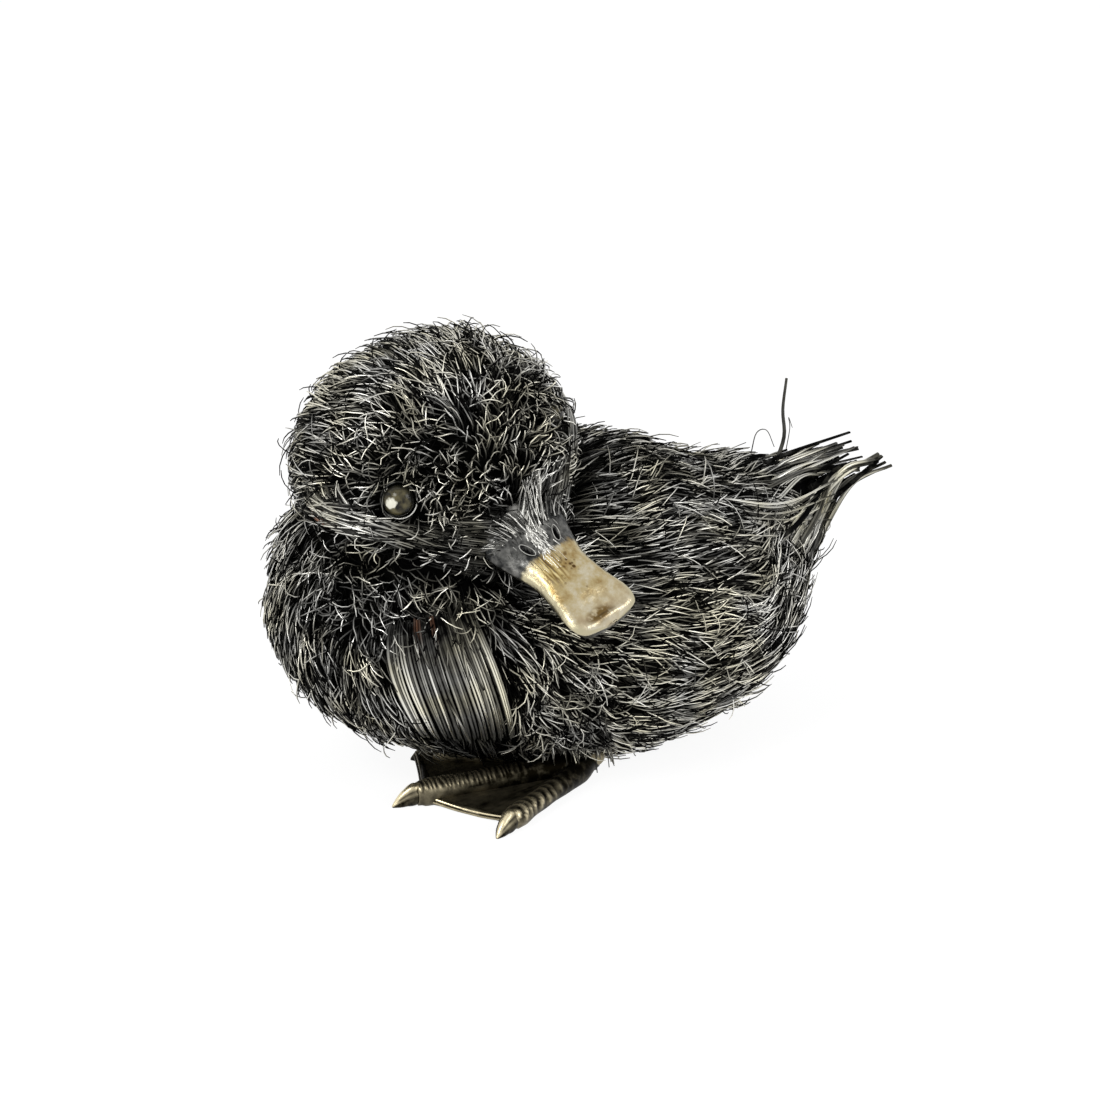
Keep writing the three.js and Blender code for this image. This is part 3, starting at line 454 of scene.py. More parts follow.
CHEEK_BEARINGS = (96, 86, 70, 54, 40, 26)
CHEEK_RISES = (4.5, 7.5, 9.9, 9.3, 6, 1)
CHEEK_STOPS = 60
CHEEK_WIRES = 96
CHEEK_WIDTH = 3.7
CHEEK_WIRE_RADIUS = 0.21
CHEEK_WIRE_STEPS = 12
CHEEK_REACH = 22  # of the skin from the head's middle
CHEEK_TONES = (0.05, 0.6, 1.0, 1.25)
FAN_WIRES = 46
FAN_TONES = (0.04, 0.2, 0.7, 1.1)
LORE_WIRES = 190
LORE_WIRE_RADIUS = 0.13
LORE_TONES = (0.01, 0.04, 0.12, 0.35)
COPPER = (0.42, 0.20, 0.12)
COPPER_BEARING, COPPER_RISE = 90, 1
BARE_POLISH = (0.04, 0.30)  # polish at which blackening gives way to metal


def curve_through(stops, count):
    """Evenly numbered spots on a smooth path through the stops."""
    stops = np.asarray(stops, float)
    padded = np.vstack((2 * stops[0] - stops[1], stops, 2 * stops[-1] - stops[-2]))
    spots = []
    for share in np.linspace(0, len(stops) - 1, count):
        start = min(int(share), len(stops) - 2)
        step = share - start
        a, b, c, d = padded[start:start + 4]
        spots.append(0.5 * (2 * b + (c - a) * step + (2 * a - 5 * b + 4 * c - d) * step ** 2
                            + (3 * b - a - 3 * c + d) * step ** 3))
    return np.array(spots)


def drawn_wires(name, lines, radii, resolution=0):
    """One mesh of round wires, with the spots of its corners as (wire, step, corner)."""
    curve = bpy.data.curves.new(name, "CURVE")
    curve.dimensions = "3D"
    curve.bevel_depth = 1
    curve.bevel_resolution = resolution
    curve.use_fill_caps = True
    count, steps = len(lines), lines.shape[1]
    for line, thickness in zip(lines, radii):
        spline = curve.splines.new("POLY")
        spline.points.add(steps - 1)
        spline.points.foreach_set("co", np.hstack((line, np.ones((steps, 1)))).ravel())
        spline.points.foreach_set("radius", np.asarray(thickness, float))
    holder = bpy.data.objects.new(name, curve)
    mesh = bpy.data.meshes.new_from_object(holder)
    bpy.data.objects.remove(holder)
    bpy.data.curves.remove(curve)
    around = 4 + 2 * resolution
    spots = np.zeros(len(mesh.vertices) * 3)
    mesh.vertices.foreach_get("co", spots)
    return mesh, spots.reshape(-1, 3)[count * 2 * around:].reshape(count, steps, around, 3)


def set_wire_values(mesh, label, values):
    """Values by (wire, step, corner), repeated on the caps, which come first and backwards."""
    caps = np.stack((values[::-1, -1], values[::-1, 0]), 1)
    set_values(mesh, label, np.concatenate((caps.ravel(), values.ravel())))


def rubbed_and_highlit(lines, corners, normals, brightness, narrowness=1.3, lean=(0, 0, 0.55)):
    """How bright each corner is: rubbed bright, and given a painted highlight, only on the side that
    faces out and upwards.
    """
    toward = unit(normals + np.asarray(lean, float))
    facing = (unit(corners - lines[:, :, None]) * toward[:, :, None]).sum(-1)
    return brightness[:, :, None] * (0.01 + 0.99 * np.clip(facing * 1.2, 0, 1) ** narrowness)


def wire_finish(name, dark, bright, wear):
    """Drawn silver wire: its polish, which is partly a painted highlight, and its copper blush come
    with the mesh.
    """
    finish, tree, shader = new_finish(name, metallic=1, roughness=0.3)
    polish = painted(tree, "polish")
    yellowed = (bright[0], bright[1] * 0.96, bright[2] * 0.80)
    tinge = toned(tree, grain(tree, 120, 2), (0.40, bright), (0.66, yellowed))
    patina = patinated(tree, shader, relief=0.15, polish=polish, dark=dark, bright=tinge, spots=420,
                       wear=wear)
    blushed = blended(tree, painted(tree, "copper"), patina.outputs["Colour"], COPPER)
    fill(tree, shader, Base_Color=blushed, Metallic=ranged(tree, polish, *BARE_POLISH),
         Specular_IOR_Level=0.012)
    return finish


def over_head(bearing, rise, sign, lift):
    """Spots at a height over the head's skin."""
    spots = head_spot(bearing, rise, sign)
    return spots + outward(head_form, spots) * np.reshape(lift, (-1, 1))


strip_silver = wire_finish("strip_silver", (0.002, 0.002, 0.002), (0.86, 0.85, 0.79), 0.22)
cheek_stops = np.stack((CHEEK_BEARINGS, CHEEK_RISES), 1)
cheek_course = curve_through(cheek_stops, CHEEK_STOPS)
cheek_paths = {}
for side, sign in SIDES.items():
    chance = np.random.default_rng(11 if side == "left" else 12)
    lines, tone = [], []
    for number in range(CHEEK_WIRES):
        aside = chance.uniform(-0.5, 0.5)
        start = chance.uniform(-0.02, 0.50)
        end = start + chance.uniform(0.16, 0.36)
        share = np.linspace(max(start, 0), end, CHEEK_WIRE_STEPS)
        bearing, rise = (np.interp(share * (CHEEK_STOPS - 1), np.arange(CHEEK_STOPS), column)
                         for column in cheek_course.T)
        spread = mix(0.45, 1, np.sin(np.pi * np.clip(share * 1.15, 0, 1)))
        rise = rise + np.degrees(aside * CHEEK_WIDTH * spread / CHEEK_REACH)
        rise += chance.normal(0, 0.5) + chance.normal(0, 14) * (share - share.mean())
        lift = 1.1 + chance.uniform(0, 0.7) + 0.3 * np.sin(share * np.pi)
        lines.append(over_head(bearing, rise, sign, lift))
        tone.append(chance.choice(CHEEK_TONES) * mix(1.0, 0.35, float(ease(0.45, 0.75, end))))
    for number in range(FAN_WIRES):
        place = number / FAN_WIRES
        above = number % 3 > 0
        start = (mix(104, 84, place), mix(4, 21, place ** 0.8) + chance.normal(0, 1))
        if not above:
            start = (mix(104, 90, chance.uniform()), mix(-3, 2, chance.uniform()))
        end = (mix(82, 62, chance.uniform()), 10 + chance.normal(0, 0.8) - (0 if above else 2.6))
        share = np.linspace(0, 1, CHEEK_WIRE_STEPS)
        bearing = mix(start[0], end[0], share)
        rise = mix(start[1], end[1], share ** 0.8) + chance.normal(0, 0.6) * np.sin(share * np.pi)
        lift = 0.9 + chance.uniform(0, 0.8) - 0.8 * (1 - share) ** 3
        lines.append(over_head(bearing, rise, sign, lift))
        tone.append(chance.choice(FAN_TONES))
    for number in range(LORE_WIRES):
        bearing = chance.uniform(19, 58)
        rise = chance.uniform(-8, 15) if bearing < 42 else chance.uniform(6, 13)
        drift = chance.normal(0, 0.9)
        share = np.linspace(0, 1, CHEEK_WIRE_STEPS)
        bearing = bearing - share * chance.uniform(12, 20)
        rise = rise - share * (5 + drift)
        lines.append(over_head(bearing, rise, sign, 0.35 + chance.uniform(0, 0.45)))
        tone.append(chance.choice(LORE_TONES))
    lines = np.array(lines)
    is_stripe = np.arange(len(lines)) < CHEEK_WIRES
    is_lore = np.arange(len(lines)) >= CHEEK_WIRES + FAN_WIRES
    thickness = np.where(is_lore, LORE_WIRE_RADIUS, CHEEK_WIRE_RADIUS)
    taper = np.sin(np.pi * np.linspace(0.15, 0.88, CHEEK_WIRE_STEPS)) ** 0.6
    mesh, corners = drawn_wires(f"cheek_wires_{side}", lines, thickness[:, None] * taper)
    middle_bright = mix(0.55, 1, np.sin(np.pi * np.linspace(0.1, 0.9, CHEEK_WIRE_STEPS)))
    brightness = np.array(tone)[:, None] * middle_bright
    set_wire_values(mesh, "polish", rubbed_and_highlit(lines, corners, outward(head_form, lines), brightness))
    copper_spot = head_spot(COPPER_BEARING, COPPER_RISE, sign)[0]
    near_copper = 1 - ease(1.5, 4.0, np.linalg.norm(corners - copper_spot, axis=-1))
    set_wire_values(mesh, "copper", near_copper * ~is_stripe[:, None, None] * 0.8)
    add_piece(f"cheek_wires_{side}", mesh, strip_silver, "silver_strip", f"cheek_stripe_{side}")
    cheek_paths[side] = head_spot(*curve_through(cheek_stops, 16).T, sign)

# Bill: two castings that meet along the lips. The upper half is dark silver at the face and
# gilt from the nostrils to the tip, worn, pitted and dished near its end. The lower is dark.

BILL_OUT = (-6.5, -0.5, 3.5, 8, 12.5, 16.5, 18.9, 20.3, 21)
BILL_HALF_WIDTH = (9.0, 8.1, 6.9, 5.6, 5.8, 6.5, 6.4, 5.2, 0.9)
BILL_EDGE = (-1.6, -2.2, -3.0, -3.9, -4.6, -5.0, -5.4, -5.8, -6.2)
BILL_CROWN = (6.6, 5.0, 3.6, 2.9, 2.3, 1.9, 1.5, 1.1, 0.3)
BILL_CHIN = (4.2, 3.4, 2.4, 1.7, 1.3, 1.1, 0.9, 0.7, 0.4)
BILL_STOPS = 200
BILL_LIP = 0.8
BILL_TOP_SHARE = 0.78  # of the way round that the top takes, and the flat underside the rest
BILL_SKIRT = 3.6  # how far the face's edge comes forward at the bill's sides
LOWER_LENGTH = 0.93
LOWER_WIDTH = 0.84
LOWER_RIM = 0.25
LIP_GAP = 0.3
DISH_DEPTH = 0.75
DISH_START, DISH_END = (14.2, 17.2), (18.9, 20.2)
RIDGE_HEIGHT = 0.25
RIDGE_START = (3, 8)
NOSTRIL_OUT = 3.9
NOSTRIL_ASIDE = 3.1
NOSTRIL_LENGTH = 1.35
NOSTRIL_WIDTH = 0.62
NOSTRIL_SPLAY = 0.38
NOSTRIL_DEPTH = 0.55
NOSTRIL_RIM_RADIUS = 0.09
NOSTRIL_RIM_STEPS = 25
GILT_START = (7.0, 8.3)
GILT_RAGGEDNESS = 3.4
WEAR_AND_SHEEN_START = (14.5, 20.0)
WEAR_AND_SHEEN_SHARE = 0.30
BILL_BUMP = 0.0004  # in metres
face = float(np.linalg.norm(reach(head_form, head_heart, head_forward[None])[0] - head_heart))
bill_columns = np.stack((BILL_OUT, BILL_HALF_WIDTH, BILL_EDGE, BILL_CROWN, BILL_CHIN), 1)
bill_table = curve_through(bill_columns, BILL_STOPS)


def bill_sizes(out):
    """Half width, edge, crown and chin of the bill at a distance in front of the face."""
    return [np.interp(out, bill_table[:, 0], bill_table[:, column]) for column in range(1, 5)]


def wrapped_grid(across, along, shape):
    """A grid rolled into a closed form: shape gives a spot for (round, length) shares."""
    built = bmesh.new()
    bmesh.ops.create_grid(built, x_segments=across, y_segments=along, size=0.5)
    for vertex in built.verts:
        vertex.co = Vector(shape(vertex.co.x + 0.5, vertex.co.y + 0.5))
    bmesh.ops.remove_doubles(built, verts=built.verts, dist=0.002)
    open_edges = [edge for edge in built.edges if edge.is_boundary]
    bmesh.ops.holes_fill(built, edges=open_edges)
    bmesh.ops.recalc_face_normals(built, faces=built.faces)
    return built


def bill_out(length):
    """More rows towards the rounded tip."""
    return mix(BILL_OUT[0] + 2, BILL_OUT[-1], 1 - (1 - length) ** 1.35)


def in_nostril(out, aside):
    """How far a spot lies from the middle of the nearer nostril, 1 at its rim."""
    aside = np.abs(aside) - NOSTRIL_ASIDE + NOSTRIL_SPLAY * (out - NOSTRIL_OUT)
    return ((out - NOSTRIL_OUT) / NOSTRIL_LENGTH) ** 2 + (aside / NOSTRIL_WIDTH) ** 2


def bill_power(out):
    """How square the top is across: round at the face, flatter towards the tip."""
    return mix(2.1, 2.9, float(ease(2, 14, out)))


def bill_ridge(out, across):
    return RIDGE_HEIGHT * float(ease(*RIDGE_START, out)) * max(0, 1 - abs(across) * 2.2)


def upper_bill(round_share, length):
    at_side = abs(math.cos(math.pi * min(round_share / BILL_TOP_SHARE, 1))) ** 2
    out = bill_out(length) + mix(0, BILL_SKIRT, at_side) * (1 - length) ** 3
    half_width, edge, crown, _ = bill_sizes(out)
    if round_share < BILL_TOP_SHARE:
        angle = math.pi * round_share / BILL_TOP_SHARE
        squareness = 2 / bill_power(out)
        aside = half_width * math.copysign(abs(math.cos(angle)) ** squareness, math.cos(angle))
        above = edge + crown * abs(math.sin(angle)) ** squareness
        across = aside / max(half_width, 0.1)
        dish = float(ease(*DISH_START, out) * (1 - ease(*DISH_END, out)))
        above -= DISH_DEPTH * dish * max(0, 1 - across * across * 1.7)
        above += bill_ridge(out, across)
        above -= NOSTRIL_DEPTH * (1 - float(ease(0.35, 1.0, in_nostril(out, aside))))
    else:
        share = (round_share - BILL_TOP_SHARE) / (1 - BILL_TOP_SHARE)
        aside = -half_width * 0.97 * (1 - 2 * share)
        lip = BILL_LIP * (1 - 0.7 * float(ease(20.2, 21, out)))
        above = edge - lip * math.sin(math.pi * min(max(share, 0), 1)) ** 0.3
    return from_head((face + out, aside, above))


def lower_bill(round_share, length):
    out = bill_out(length * LOWER_LENGTH)
    half_width, edge, _, chin = bill_sizes(out)
    angle = math.tau * round_share
    depth = chin if math.sin(angle) < 0 else LOWER_RIM
    aside = half_width * LOWER_WIDTH * math.cos(angle)
    above = edge - BILL_LIP - LIP_GAP + depth * math.sin(angle)
    return from_head((face + out, aside, above))


def around_spot(local, middle, sizes, fade):
    """1 inside an oval patch of the bill's top, and 0 beyond its faded edge."""
    return 1 - ease(*fade, np.linalg.norm((local[:, :2] - np.array(middle)) / np.array(sizes), axis=1))


gilt_bill, tree, shader = new_finish("gilt_silver", metallic=1, roughness=0.28)
out, aside = painted(tree, "out"), painted(tree, "aside")
ragged = grain(tree, 320, 5, 0.65)
gilt_edge = worked_out(tree, "MULTIPLY_ADD", ragged, GILT_RAGGEDNESS, out)
gilt_share = ranged(tree, gilt_edge, *GILT_START, course="SMOOTHSTEP")
cast_patina = add_patina(tree, polish=painted(tree, "band"), dark=(0.022, 0.023, 0.023),
                         bright=(0.30, 0.295, 0.275), spots=560, wear=2.0)

gilt_clouds = grain(tree, 300, 6, 0.65)
gold = toned(tree, gilt_clouds, (0.36, (0.30, 0.20, 0.075)), (0.66, (0.58, 0.53, 0.40)),
             (0.5, (0.45, 0.36, 0.19)))
# Towards the tip the gilt pales: worn gilding, and a painted highlight over the dish.
gold = blended(tree, ranged(tree, out, *WEAR_AND_SHEEN_START, 0, WEAR_AND_SHEEN_SHARE), gold, (0.66, 0.64, 0.57))
gold = blended(tree, painted(tree, "wall"), gold, (0.50, 0.45, 0.30))

streak_place = add_node(tree, "ShaderNodeCombineXYZ", X=worked_out(tree, "MULTIPLY", aside, 1.9),
                        Y=worked_out(tree, "MULTIPLY", out, 0.22))
streaks = add_node(tree, "ShaderNodeTexNoise", Vector=streak_place.outputs[0], Scale=1, Detail=3)
streak_tones = toned(tree, streaks.outputs["Fac"], (0.40, (0.20, 0.13, 0.045)),
                     (0.60, (0.70, 0.58, 0.30)), (0.49, (0.42, 0.31, 0.12)))
gold = blended(tree, painted(tree, "streak"), gold, streak_tones)

pit_cells = add_node(tree, "ShaderNodeTexVoronoi", Scale=1150,
                     Vector=tree.nodes.new("ShaderNodeTexCoord").outputs["Object"])
pits = ranged(tree, pit_cells.outputs["Distance"], 0.46, 0.28)
pit_patches = worked_out(tree, "MULTIPLY", ranged(tree, grain(tree, 260, 1), 0.44, 0.52),
                         painted(tree, "pits"))
gold = blended(tree, worked_out(tree, "MULTIPLY", pits, pit_patches), gold, (0.09, 0.05, 0.018))

stain = worked_out(tree, "MULTIPLY", ranged(tree, grain(tree, 800, 4), 0.34, 0.48),
                   painted(tree, "stain"))
gold = blended(tree, stain, gold, (0.16, 0.10, 0.035))
whole = blended(tree, gilt_share, cast_patina.outputs["Colour"], gold)
bumps = add_node(tree, "ShaderNodeBump", Strength=0.6, Distance=BILL_BUMP, Height=gilt_clouds)
# The nostrils' dents are painted nearly black, as painted shade.
fill(tree, shader, Base_Color=blended(tree, painted(tree, "hollow"), whole, (0.003, 0.003, 0.003)),
     Normal=bumps.outputs["Normal"])

mesh = to_mesh("bill_top", wrapped_grid(88, 76, upper_bill))
local = to_head([vertex.co for vertex in mesh.vertices]) - np.array((face, 0, 0))
out, aside = local[:, 0], local[:, 1]
across = np.abs(aside) / np.array([bill_sizes(each)[0] for each in out])
band = np.exp(-((aside + 0.4) / 1.5) ** 2) * (1 - ease(4.5, 6.5, out))
set_values(mesh, "out", out)
set_values(mesh, "aside", aside)
# Where the nostrils are painted black as shade.
set_values(mesh, "hollow", 1 - ease(0.5, 1.2, in_nostril(out, aside)))
set_values(mesh, "stain", around_spot(local, (19.2, -1.1), (1.5, 3.2), (0.5, 1.1)))
set_values(mesh, "pits", around_spot(local, (11.2, 0.8), (4.6, 3.8), (0.5, 1.2)))
set_values(mesh, "streak", around_spot(local, (8.4, -2.3), (4.4, 2.9), (0.35, 1.1)))
set_values(mesh, "wall", ease(0.80, 0.93, across))
set_values(mesh, "band", 0.22 + 0.6 * band)
add_piece("bill_top", mesh, gilt_bill, "gilt_silver", "bill_upper")

dark_casting, tree, shader = new_finish("dark_cast_silver", metallic=1, roughness=0.4)
patinated(tree, shader, relief=0.5, polish=0.25, dark=(0.02, 0.02, 0.018),
          bright=(0.22, 0.21, 0.18), spots=380, wear=1.2)
mesh = to_mesh("bill_bottom", wrapped_grid(40, 40, lower_bill))
add_piece("bill_bottom", mesh, dark_casting, "cast_silver", "bill_lower")


def on_bill(out, aside, lift):
    """A spot over the bill's top at a distance in front of the face and to its left."""
    half_width, edge, crown, _ = bill_sizes(out)
    power = bill_power(out)
    height = edge + crown * max(1 - min(abs(aside) / half_width, 1) ** power, 0) ** (1 / power)
    return from_head((face + out, aside, height + bill_ridge(out, aside / half_width) + lift))


def nostril_spot(sign, turn):
    out = NOSTRIL_LENGTH * math.cos(turn)
    aside = NOSTRIL_ASIDE + NOSTRIL_WIDTH * math.sin(turn) - NOSTRIL_SPLAY * out
    return on_bill(NOSTRIL_OUT + out, sign * aside, 0.03)


turns = np.linspace(0, math.tau, NOSTRIL_RIM_STEPS)
nostril_rims = np.array([[nostril_spot(sign, turn) for turn in turns] for sign in (1, -1)])
rim_radii = np.full(nostril_rims.shape[:2], NOSTRIL_RIM_RADIUS)
mesh, corners = drawn_wires("nostril_rims", nostril_rims, rim_radii, 1)
set_values(mesh, "worn", np.full(len(mesh.vertices), 0.5))
add_piece("nostril_rims", mesh, bright_wire, "silver_wire", "bill_upper")

FRINGE_SPIKES = 130
TUFT_WIRES = 46
BASE_SCRATCHES = 130
GILT_LINES = 12
STROKE_STEPS = 8
SCRATCH_TAPER = np.array((0.4, 0.8, 1, 1, 1, 1, 0.8, 0.4))
chance = np.random.default_rng(17)
along = np.linspace(0, 1, STROKE_STEPS)
strokes, stroke_radii, stroke_worn = [], [], []
for number in range(FRINGE_SPIKES):
    across = mix(-0.97, 0.97, (number + 0.5) / FRINGE_SPIKES) + chance.normal(0, 0.03)
    middle = 1 - abs(across)
    out = mix(0.2, 1.8, middle) + chance.uniform(-1.0, 0.8)
    start = on_bill(out, np.clip(across, -0.98, 0.98) * bill_sizes(1.0)[0], 0.02)
    bearing = math.degrees(math.asin(np.clip(abs(across), 0, 1) * 0.42)) + chance.uniform(1, 6)
    rise = mix(14, -6, abs(across) ** 2) + chance.normal(0, 2)
    away = unit(head_spot(bearing, rise, math.copysign(1, across))[0] - start)
    end = start + away * chance.uniform(1.6, 3.0) * mix(1, 1.6, middle)
    end = end + outward(head_form, end[None])[0] * max(0.9 - skin(head_form, end[None])[0], 0)
    strokes.append(mix(start, end, along[:, None]))
    stroke_radii.append(0.15 * np.linspace(1, 0.3, STROKE_STEPS))
    stroke_worn.append(chance.choice((0.03, 0.1, 0.5, 1.0) if middle > 0.55 else (0.0, 0.0, 0.15, 0.7)))
for number in range(TUFT_WIRES):
    start = on_bill(chance.uniform(-1.5, 2.2), chance.uniform(-1.2, 3.6), 0.05)
    end = head_spot(chance.uniform(6, 19), chance.uniform(14, 20), 1)[0]
    stops = (start, mix(start, end, 0.5) + head_forward * 0.3, end + head_forward * 0.8)
    strokes.append(curve_through(stops, STROKE_STEPS))
    stroke_radii.append(0.14 * np.linspace(1, 0.4, STROKE_STEPS))
    stroke_worn.append(chance.choice((0.04, 0.3, 0.7, 1.0)))
for number in range(BASE_SCRATCHES):
    in_band = number % 4 > 0
    out = chance.uniform(-0.6, 5.6) if in_band else chance.uniform(0.4, 4.6)
    aside = chance.normal(-0.5, 0.9) if in_band else chance.uniform(-6.0, 6.0)
    lean = chance.normal(0.05, 0.35)
    size = chance.uniform(0.5, 1.5)
    strokes.append([on_bill(out + size * step, aside + size * step * lean, -0.01) for step in along])
    stroke_radii.append(chance.uniform(0.05, 0.14 if in_band else 0.08) * SCRATCH_TAPER)
    stroke_worn.append(chance.choice((0.7, 0.9, 1.0) if in_band else (0.02, 0.04, 0.4)))
for number in range(GILT_LINES):
    out = 5.2 + chance.uniform(0, 1.4)
    aside = mix(-4.0, 1.4, number / GILT_LINES)
    size = chance.uniform(1.4, 4.2)
    strokes.append([on_bill(out + size * step, aside + 0.2 * step, -0.035) for step in along])
    stroke_radii.append(np.full(STROKE_STEPS, chance.uniform(0.04, 0.07)))
    stroke_worn.append(chance.choice((0.06, 1.0)))
mesh, corners = drawn_wires("bill_engraving", np.array(strokes), np.array(stroke_radii))
set_wire_values(mesh, "worn", np.ones(corners.shape[:3]) * np.array(stroke_worn)[:, None, None])
add_piece("bill_engraving", mesh, bright_wire, "silver_wire", "bill_upper")

# Wings: long rounded strips laid side by side on a dark backing sheet, from the shoulder down
# and back over the flank. Their tops are tucked under the coat, where the solder shows copper.

WING_STRIPS = 38
WING_STRIP_RADIUS = 0.30
WING_STEPS = 16
WING_FRONT = ((-41, 34), (-43, 25), (-33, 12.5))
WING_REAR = ((-28.5, 36.5), (-25.0, 25.5), (-16.8, 10.5))
WING_TONES = (0.2, 0.5, 0.92, 1.4)
# The painted highlight along the wing strips is narrow and leans back and up.
WING_NARROWNESS = 4.2
WING_LEAN = (0, 0.3, 0.3)
LOOSE_STRIPS = ((0.05, 0.5, 1.6), (0.1, 0.42, -1.2), (0.02, 0.3, 0.9), (0.55, 0.95, 1.3))
LOOSE_STRIP_RADIUS = 0.2
LOOSE_STRIP_LIFT = 1.65
SOLDERED_STRIPS = [10, 11, 12, 17, 18]
SOLDER_BLUSH = (0.12, 0.25, 0.12, 0.25, 0.12)
BACKING_STOPS = 14
BACKING_LIFT = 0.35


def bent(stops, share):
    """Spots on the curve from the first stop to the last, bent towards the middle one."""
    top, turn, end = (np.array(stop, float) for stop in stops)
    share = np.asarray(share, float)[..., None]
    return (1 - share) ** 2 * top + 2 * share * (1 - share) * turn + share ** 2 * end


def down_wing(share, across):
    """(Length, height) places on the wing, by shares of the way down and across it."""
    return mix(bent(WING_FRONT, share), bent(WING_REAR, share), across)


def over_flank(course, sign, lift):
    """Spots at a height over the body's side, at (length, height) places."""
    starts = np.stack((np.zeros(len(course)), course[:, 0], course[:, 1]), 1)
    spots = reach(body_form, starts, np.tile((float(sign), 0.0, 0.0), (len(course), 1)))
    return spots + outward(body_form, spots) * np.reshape(lift, (-1, 1))


wing_spots = []
along = np.linspace(0, 1, WING_STEPS)
taper = mix(0.45, 1, np.sin(np.pi * np.linspace(0.08, 0.93, WING_STEPS)) ** 0.6)
# Painted shade: the strips darken at their tops, tucked under the coat, and towards their lower ends.
fade = mix(0.03, 1, ease(0.05, 0.6, along) * (1 - 0.9 * ease(0.84, 1, along)))
for side, sign in SIDES.items():
    chance = np.random.default_rng(21 if side == "left" else 22)
    lines, radii = [], []
    for number in range(WING_STRIPS):
        across = (number + 0.5 + chance.normal(0, 0.12)) / WING_STRIPS
        end = 1 - chance.uniform(0, 0.05)
        start = -0.10 + chance.uniform(-0.04, 0.04)
        share = np.linspace(start, end, WING_STEPS)
        course = down_wing(share, across)
        course[:, 0] += 0.35 * chance.normal() * along ** 2
        lift = 0.95 + chance.uniform(-0.15, 0.25) - 0.5 * ease(0.85, 1, share)
        lines.append(over_flank(course, sign, lift))
        radii.append(WING_STRIP_RADIUS * chance.uniform(0.78, 1.12) * taper)
    for start, end, drift in LOOSE_STRIPS:
        across = chance.uniform(0.3, 0.8)
        course = down_wing(np.linspace(start, end, WING_STEPS), across)
        course[:, 0] += drift * np.linspace(-0.5, 0.5, WING_STEPS)
        lines.append(over_flank(course, sign, LOOSE_STRIP_LIFT))
        radii.append(np.full(WING_STEPS, LOOSE_STRIP_RADIUS))
    lines = np.array(lines)
    mesh, corners = drawn_wires(f"wing_strips_{side}", lines, np.array(radii), 2)
    brightness = chance.choice(WING_TONES, len(lines))[:, None] * fade
    set_wire_values(mesh, "polish", rubbed_and_highlit(lines, corners, outward(body_form, lines), brightness,
                                           WING_NARROWNESS, WING_LEAN))
    blush = np.zeros((len(lines), 1, 1))
    blush[SOLDERED_STRIPS, 0, 0] = SOLDER_BLUSH
    near_top = 1 - ease(0.08, 0.24, along)
    set_wire_values(mesh, "copper", blush * near_top[:, None] * np.ones(corners.shape[:3]))
    add_piece(f"wing_strips_{side}", mesh, strip_silver, "silver_strip", f"wing_{side}")
    wing_spots.append(lines[:WING_STRIPS, 3:].reshape(-1, 3))

    # The wing's backing sheet takes the same near-black finish, which shows as painted shade between
    # the strips.
    backing = bmesh.new()
    bmesh.ops.create_grid(backing, x_segments=BACKING_STOPS, y_segments=BACKING_STOPS, size=0.5)
    places = np.array([vertex.co for vertex in backing.verts])[:, :2] + 0.5
    course = down_wing(places[:, 1], places[:, :1])
    for vertex, spot in zip(backing.verts, over_flank(course, sign, BACKING_LIFT)):
        vertex.co = spot
    bmesh.ops.recalc_face_normals(backing, faces=backing.faces)
    mesh = to_mesh(f"wing_backing_{side}", backing)
    add_piece(f"wing_backing_{side}", mesh, undercoat, "oxidised_silver", f"wing_{side}")

# Tail: long pressed strips seated round the top of the rump, gathered into an open brush whose
# tips part. Thin strips cross it, and one drawn wire stands at its root with two loops beside it.

TAIL_STEPS = 18
TAIL_STRIP_RADIUS = 0.52
TAIL_FLATNESS = 0.62
TAIL_TOP_STRIPS = 14
TAIL_SIDE_STRIPS = 12
TAIL_CROSSING_STRIPS = 9
TAIL_INNER_STRIPS = 15
TAIL_AXIS_HEIGHT = 33
TAIL_FAN_HEIGHT = 30  # of the line that the strips' flat sides face away from
TAIL_TONES = (0.0, 0.3, 1.2, 2.2)
CROSSING_TONES = (0.3, 1.6, 2.4, 3.0)
CREST_PLACE = (1.5, 47.5)
CREST_STEPS = 16
CREST_RADII = (0.40, 0.12, 0.10)
CREST_STOPS = (
    ((0, -0.6, -0.8), (0, 1.4, 4.6), (0, 1.0, 9.8), (0.2, 1.5, 15.6)),
    ((-1, -5, 2.2), (-0.6, -4.2, 6.0), (0, -2.4, 6.4), (0.5, -1.0, 3.2)),
    ((0.5, 1.6, 2.4), (0.9, 2.0, 6.4), (1.3, 1.4, 8.6), (1.4, 2.2, 6.6)),
)
tail_lines, tail_radii, tail_tone = [], [], []


def rump_spot(length, degrees, sign, lift):
    """A spot over the rump, by its angle from straight up."""
    angle = math.radians(degrees)
    ahead = np.array((sign * math.sin(angle), 0, math.cos(angle)))
    spot = reach(body_form, np.array((0, length, TAIL_AXIS_HEIGHT)), ahead[None])
    return (spot + outward(body_form, spot) * lift)[0]


def between(first, second, share):
    return mix(np.array(first), np.array(second), share)


def keep_strip(root, stops, sign, thickness, tone):
    """Keeps a strip for the tail, its stops given for the left side and its root as it is."""
    mirrored = [np.array((stop[0] * sign, stop[1], stop[2])) for stop in stops]
    tail_lines.append(curve_through((root, *mirrored), TAIL_STEPS))
    tail_radii.append(TAIL_STRIP_RADIUS * thickness)
    tail_tone.append(tone)


def press_flat(mesh, lines, corners, ups):
    """Flattens round wires along their upward directions."""
    rise = ((corners - lines[:, :, None]) * ups[:, :, None]).sum(-1, keepdims=True)
    pressed = corners - ups[:, :, None] * rise * (1 - TAIL_FLATNESS)
    caps = np.stack((pressed[::-1, -1], pressed[::-1, 0]), 1)
    spots = np.concatenate((caps.reshape(-1, 3), pressed.reshape(-1, 3)))
    mesh.vertices.foreach_set("co", spots.ravel())


